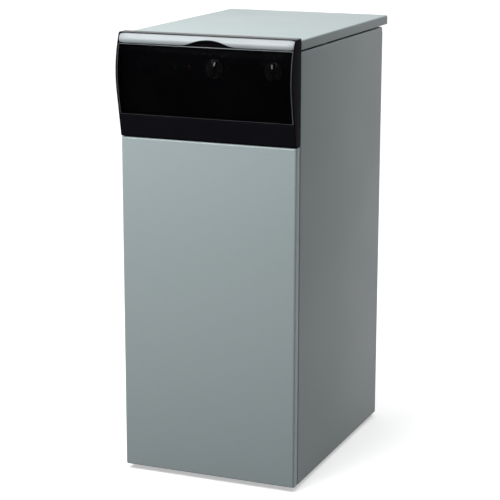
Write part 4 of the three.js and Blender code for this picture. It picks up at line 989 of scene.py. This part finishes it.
@dataclass
class Controls:
    """What sits on the control plate behind the flap."""

    plate: float = -0.001
    height: float = 0.7934
    temperature_x: float = 0.01701
    temperature_turn: float = 0.33
    selector_x: float = 0.132
    gauge_x: float = -0.118
    radius: float = 0.018
    skirt: float = 0.003
    rise: float = 0.0105
    gap: float = 0.0008
    grip: tuple[float, float] = (0.007, 0.031)
    bore: float = 0.0033
    pointer: float = 0.0013
    ring: float = 0.0200
    letters: float = 0.0042
    dial_ring: float = 0.0132
    dial_letters: float = 0.0026
    heat_turns: tuple[float, float] = (-2.618, 2.094)
    switch_turn: float = 1.047
    dial_turn: float = 2.1
    dial: float = 0.0019
    print_depth: float = 0.00012

    def build(self, bench: Bench) -> None:
        """Build the knobs, and print the marks on the plate and on the gauge's dial."""
        knob = self.knob(bench)
        turn = Matrix.Translation((self.temperature_x, 0, self.height))
        turn @= Matrix.Rotation(self.temperature_turn, 4, "Y")
        twin = knob.copy("temperature_grip", turn)
        knob.move(lambda co: co + Vector((self.selector_x, 0, self.height)))
        bench.place(knob, "knob_plastic", "selector_control", "selector_knob")
        bench.place(twin, "knob_plastic", "temperature_control", "temperature_knob")
        self.marks(bench)

    def knob(self, bench: Bench) -> Hand:
        """Shape a knob with a round skirt, a low dome, a bar grip and a pale pointer that is also
        a painted highlight on the grip's upper end.
        """
        base = FACE + self.plate - self.gap
        top, r, s, bore = base - self.rise, self.radius, self.skirt, self.bore
        profile = [(bore, 0), (r - 0.0004, 0), (r, 0.0004), (r, s * 0.55)]
        profile += [(r - 0.0006, s * 0.85), (r - 0.0018, s), (r * 0.62, s + 0.0006)]
        profile += [(r * 0.52, s + 0.0016), (bore, 0.0058)]
        body = Hand.turned("selector_grip", (0, base, 0), (0, -1, 0), profile, 64)
        w, l = self.grip[0] / 2, self.grip[1] / 2
        bar = Hand.block("bar", (-w, top, -l), (w, base - 0.0015, l))
        bar.ease(lambda c, d: abs(d.y) > ALONG, 0.0026, 5)
        bar.ease(lambda c, d: c.y < top + NEAR, 0.0017, 4)
        # the white pointer is a real mark, sized and placed as a painted highlight on the grip's
        # upper end
        low = (-self.pointer, top - 0.0001, l * 0.42)
        high = (self.pointer, top + 0.0005, l - 0.0015)
        pointer = Hand.block("pointer", low, high).soften(0.0003)
        black, white = bench.materials["knob_plastic"], bench.materials["white_plastic"]
        return body.paint(black).join(bar.paint(black), pointer.paint(white))

    def tick(self, x: float, y: float, inner: float, outer: float) -> Hand:
        """Print one upright mark above a centre, between two radii."""
        low = (x - 0.00025, y - self.print_depth, self.height + inner)
        return Hand.block("tick", low, (x + 0.00025, y, self.height + outer))

    def number(
        self, text: str, x: float, y: float, radius: float, angle: float, size: float
    ) -> Hand:
        """Print one upright number round a centre.

        Args:
            text: The number.
            x: The centre's place across.
            y: The depth of the printed face.
            radius: How far from the centre it stands.
            angle: Where it stands, in radians clockwise from the top.
            size: Its letter size.

        Returns:
            The number in hand.
        """
        Hand.free()
        place = (x + radius * math.sin(angle), y, self.height + radius * math.cos(angle))
        bpy.ops.object.text_add(location=place, rotation=(math.pi / 2, 0, 0))
        letters = bpy.context.object.data
        letters.body, letters.size, letters.extrude = text, size, self.print_depth
        letters.align_x, letters.align_y = "CENTER", "CENTER"
        bpy.ops.object.convert(target="MESH")
        return Hand("number").tidy()

    def scale(
        self,
        x: float,
        y: float,
        radius: float,
        angles: list[float],
        numbers: list[str],
        size: float,
    ) -> Hand:
        """Print a ring of marks with its numbers.

        Args:
            x: The centre's place across.
            y: The depth of the printed face.
            radius: The marks' inner radius.
            angles: Where the marks stand, in radians clockwise from the top.
            numbers: The numbers, spread evenly over the marks from the first to the last.
            size: The numbers' letter size; they stand inside the marks where it is negative.

        Returns:
            The whole scale in hand.
        """
        ring = self.tick(x, y, radius, radius + 0.0022).ring((x, y, self.height), angles)
        out = radius + (0.0055 if size > 0 else -0.0032)
        step = (len(angles) - 1) / (len(numbers) - 1)
        places = [angles[round(k * step)] for k in range(len(numbers))]
        texts = [self.number(t, x, y, out, a, abs(size)) for t, a in zip(numbers, places)]
        return ring.join(*texts)

    @staticmethod
    def turns(low: float, high: float, count: int) -> list[float]:
        """Spread a number of angles evenly, both ends included."""
        return [low + (high - low) * k / (count - 1) for k in range(count)]

    def marks(self, bench: Bench) -> None:
        """Print the three scales."""
        face, size, dial_size = FACE + self.plate, self.letters, -self.dial_letters
        heat = self.turns(*[self.temperature_turn + turn for turn in self.heat_turns], 11)
        numbers = [str(k) for k in range(1, 7)]
        plate = self.scale(self.temperature_x, face, self.ring, heat, numbers, size)
        thirds = self.turns(-self.switch_turn, self.switch_turn, 3)
        switch = self.scale(self.selector_x, face, self.ring, thirds, ["0", "1", "2"], size)
        sweep = self.turns(-self.dial_turn, self.dial_turn, 13)
        face, numbers = FACE + self.dial, [str(k) for k in range(0, 121, 20)]
        dial = self.scale(self.gauge_x, face, self.dial_ring, sweep, numbers, dial_size)
        for name, hand in (("plate_marks", plate.join(switch)), ("dial_marks", dial)):
            hand.obj.name = name
            bench.place(hand, "pale_print", "casing")


@dataclass
class Rear:
    """The flue collar and the pipe ends behind the casing."""

    end: float = 0.580
    flue_radius: float = 0.062
    flue_wall: float = 0.002
    pipe_x: float = 0.088
    pipe_zs: tuple[float, float] = (0.560, 0.250)
    pipe_radius: float = 0.0166
    pipe_bore: float = 0.0135
    pipe_start: float = 0.4317
    pitch: float = 0.00231
    threads: int = 9
    thread_depth: float = 0.0009
    nut: float = 0.023

    def build(self, bench: Bench) -> None:
        """Build the collar and both water pipes."""
        bench.place(self.collar(), "plain_steel", "casing", "flue_collar")
        for way, z in zip(("flow", "return"), self.pipe_zs):
            bench.place(self.pipe(f"{way}_tube", z), "plain_steel", "casing", f"{way}_pipe")

    def collar(self) -> Hand:
        """Turn the flue collar with its flange and its rolled bead."""
        r, y0, bore = self.flue_radius, 0.4810, self.flue_radius - self.flue_wall
        flange, bead, lift = 0.4888, self.end - 0.014, 0.0025
        profile = [(bore, y0), (r, y0), (r, flange), (r + 0.012, flange)]
        profile += [(r + 0.012, flange + 0.0015), (r + 0.001, flange + 0.0015), (r, flange + lift)]
        for k in range(9):
            profile.append((r + lift * math.sin(math.pi * k / 8), bead - lift + 2 * lift * k / 8))
        profile += [(r, self.end), (bore, self.end), (bore, y0)]
        return Hand.turned("flue_spigot", (0, FACE, FLUE_Z), (0, 1, 0), profile, 96)

    def pipe(self, name: str, z: float) -> Hand:
        """Turn one water pipe with its hexagon and a threaded end."""
        r, y0, end, bore = self.pipe_radius, self.pipe_start, self.end, self.pipe_bore
        profile = [(bore, y0), (r, y0)]
        for k in range(self.threads):
            y = end - 0.024 + k * self.pitch
            profile += [(r, y), (r - self.thread_depth, y + self.pitch / 2)]
        profile += [(r, end - 0.002), (r - 0.001, end), (bore, end), (bore, y0)]
        tube = Hand.turned(name, (self.pipe_x, FACE, z), (0, 1, 0), profile, 48)
        ends = [(self.pipe_x, FACE + y, z) for y in (y0 + 0.004, y0 + 0.018)]
        return tube.join(Hand.rod("nut", *ends, self.nut, 6).soften(0.0012, 2, 40))


@dataclass
class Screws:
    """Small cross-headed screws in the rear panels and the flue collar's flange."""

    panel: float = 0.4885
    panel_x: float = 0.1655
    panel_zs: tuple[float, ...] = (0.040, 0.210, 0.380, 0.545, 0.700, 0.775, 0.812)
    flange: float = 0.4903
    flange_radius: float = 0.0685
    head: float = 0.0038
    dome: float = 0.0018

    def build(self, bench: Bench) -> None:
        """Shape one screw and copy it to every place."""
        places = [(side * self.panel_x, self.panel, z) for side in (-1, 1) for z in self.panel_zs]
        for k in range(4):
            turn = math.pi / 4 + k * math.pi / 2
            across, up = self.flange_radius * math.cos(turn), self.flange_radius * math.sin(turn)
            places.append((across, self.flange, FLUE_Z + up))
        matrices = [Matrix.Translation((x, FACE + y, z)) for x, y, z in places]
        group = self.screw().copies("screw", matrices)
        group.obj.name = "rear_screws"
        bench.place(group, "plain_steel", "casing")

    def screw(self) -> Hand:
        """Turn a low domed head and cut a cross into it."""
        r, h = self.head, self.dome
        profile = [(0, 0), (r, 0), (r, h * 0.3), (r * 0.86, h * 0.72)]
        profile += [(r * 0.55, h * 0.95), (0, h)]
        head = Hand.turned("head", (0, 0, 0), (0, 1, 0), profile, 32)
        long, thin, deep = r * 0.55, r * 0.13, h * 0.45
        return head.cut(
            Hand.block("slot", (-long, deep, -thin), (long, 2 * h, thin)),
            Hand.block("slot", (-thin, deep, -long), (thin, 2 * h, long)),
        )


@dataclass
class Feet:
    """Four levelling feet."""

    xs: tuple[float, float] = (-0.130, 0.130)
    ys: tuple[float, float] = (0.0715, 0.440)
    pad: float = 0.017
    stem: float = 0.005
    height: float = 0.036
    pitch: float = 0.0013
    threads: int = 22

    def build(self, bench: Bench) -> None:
        """Turn one foot and copy it to the other corners."""
        foot = self.foot()
        for y, end in zip(self.ys, ("front", "rear")):
            for x, side in zip(self.xs, ("left", "right")):
                twin = foot.copy(f"{end}_{side}_foot", Matrix.Translation((x, FACE + y, 0)))
                bench.place(twin, "rubber", "casing", f"foot_{end}_{side}")
        bpy.data.objects.remove(foot.obj)

    def foot(self) -> Hand:
        """Turn the pad and the threaded stem, and add the nut."""
        r, s, low, flank = self.pad, self.stem, 0.0065, self.pitch / 2
        profile = [(0, 0), (r - 0.0015, 0), (r, 0.0014), (r, 0.0026), (r - 0.0015, 0.0045)]
        profile += [(0.012, 0.005), (s, 0.005), (s, low)]
        for k in range(self.threads):
            z = low + k * self.pitch
            profile += [(s, z), (s - 0.0006, z + flank)]
        profile += [(s, self.height - 0.0005), (s - 0.0005, self.height), (0, self.height)]
        pad = Hand.turned("foot", (0, 0, 0), (0, 0, 1), profile, 40)
        nut = Hand.rod("nut", (0, 0, 0.0067), (0, 0, 0.0097), 0.0095, 6)
        return pad.join(nut.soften(0.0005, 2, 40))


# Stage


@dataclass(frozen=True)
class Lamp:
    """A square soft lamp: its place and target, its side in metres, its power in watts."""

    name: str
    place: Point
    target: Point
    size: float
    power: float

    def hang(self) -> None:
        """Add the lamp to the scene."""
        bpy.ops.object.light_add(type="AREA", location=self.place)
        lamp = bpy.context.object
        lamp.name = self.name
        lamp.data.size = self.size
        lamp.data.energy = self.power
        aim = Vector(self.target) - Vector(self.place)
        lamp.rotation_euler = aim.to_track_quat("-Z", "Y").to_euler()


@dataclass
class Stage:
    """The floor, the white surroundings and the lamps."""

    floor_size: float = 60.0
    floor_colour: Colour = (0.8, 0.8, 0.8)
    floor_bounce: Colour = (0.16, 0.155, 0.165)
    floor_glow: float = 0.42
    world_light: float = 0.062
    sky_power: float = 2.45
    sky_angle: float = 70.0
    key: Lamp = Lamp("key_lamp", (-0.5, -1.4, 1.75), (0.0, -0.2, 0.65), 1.1, 34.5)

    def build(self) -> None:
        """Lay the floor, hang the lamps and set the surroundings."""
        Hand.free()
        bpy.ops.mesh.primitive_plane_add(size=self.floor_size, location=(0, 0, 0))
        floor = bpy.context.object
        floor.name = "floor"
        floor.data.materials.append(self.floor_finish())
        floor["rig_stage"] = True
        bpy.ops.object.light_add(type="SUN", location=(0, 0, 4))
        sky = bpy.context.object
        sky.name = "sky_lamp"
        sky.data.energy = self.sky_power
        sky.data.angle = math.radians(self.sky_angle)
        self.key.hang()
        self.surround()

    @staticmethod
    def seen(tree: bpy.types.NodeTree) -> Socket:
        """Return a socket that is 1 where the eye, a mirror or clear glass looks, else 0."""
        path = tree.nodes.new("ShaderNodeLightPath")
        found = path.outputs["Is Camera Ray"]
        for name in ("Is Glossy Ray", "Is Transmission Ray"):
            either = tree.nodes.new("ShaderNodeMath")
            either.operation = "MAXIMUM"
            tree.links.new(found, either.inputs[0])
            tree.links.new(path.outputs[name], either.inputs[1])
            found = either.outputs[0]
        return found

    def floor_finish(self) -> Material:
        """Return the floor's finish: pale to the eye, greyer in the light it throws back."""
        n = Nodes("pale_floor")
        speck = n.spread(n.noise(40, 4), 0.0, 1.0)
        pale = n.mix(speck, self.floor_colour, shaded(self.floor_colour, 1.02))
        seen = self.seen(n.tree)
        glow = n.add("ShaderNodeMapRange", Value=seen, To_Max=self.floor_glow)
        return n.surface(
            Base_Color=n.mix(seen, self.floor_bounce, pale),
            Roughness=0.9,
            Specular_IOR_Level=0.0,
            Emission_Color=(1, 1, 1),
            Emission_Strength=glow.outputs[0],
        )

    def surround(self) -> None:
        """Make the surroundings white to the eye and to mirrors, and else a soft light."""
        world = bpy.data.worlds.new("surroundings")
        bpy.context.scene.world = world
        world.use_nodes = True
        tree = world.node_tree
        strength = tree.nodes.new("ShaderNodeMapRange")
        tree.links.new(self.seen(tree), strength.inputs["Value"])
        strength.inputs["To Min"].default_value = self.world_light
        strength.inputs["To Max"].default_value = 1.0
        back = tree.nodes["Background"]
        back.inputs["Color"].default_value = (1, 1, 1, 1)
        tree.links.new(strength.outputs[0], back.inputs["Strength"])


@dataclass
class Camera:
    """The camera that sees the boiler from the photograph's angle."""

    place: Point = (1.245, -3.107, 1.1906)
    azimuth: float = 22.3244
    pitch: float = 13.3952
    roll: float = -0.1192
    lens: float = 123.0569
    sensor: float = 36.0
    clip: tuple[float, float] = (0.05, 100.0)

    def build(self) -> None:
        """Set the camera up and make it the scene's own."""
        turned = [math.radians(a) for a in (90 - self.pitch, self.roll, self.azimuth)]
        bpy.ops.object.camera_add(location=self.place, rotation=turned)
        camera = bpy.context.object
        camera.name = "camera"
        camera.data.lens = self.lens
        camera.data.sensor_width = self.sensor
        camera.data.clip_start, camera.data.clip_end = self.clip
        bpy.context.scene.camera = camera


def plain_bounds() -> list[list[float]]:
    """Return the shown object's lowest and highest corners as plain lists."""
    return [list(corner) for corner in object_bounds()]


def main() -> None:
    """Load the frame and build the looks, one sub-assembly after another."""
    logging.basicConfig(level=logging.INFO, format="%(message)s")
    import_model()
    cad = plain_bounds()
    Camera().build()
    bench = Bench()
    bench.dress()
    for part in (Casing(), Fascia(), Controls(), Rear(), Screws(), Feet()):
        part.build(bench)
    Stage().build()
    bpy.context.scene.view_settings.view_transform = "Standard"
    {"cad": cad, "visual": plain_bounds()}


if __name__ == "__main__":
    main()
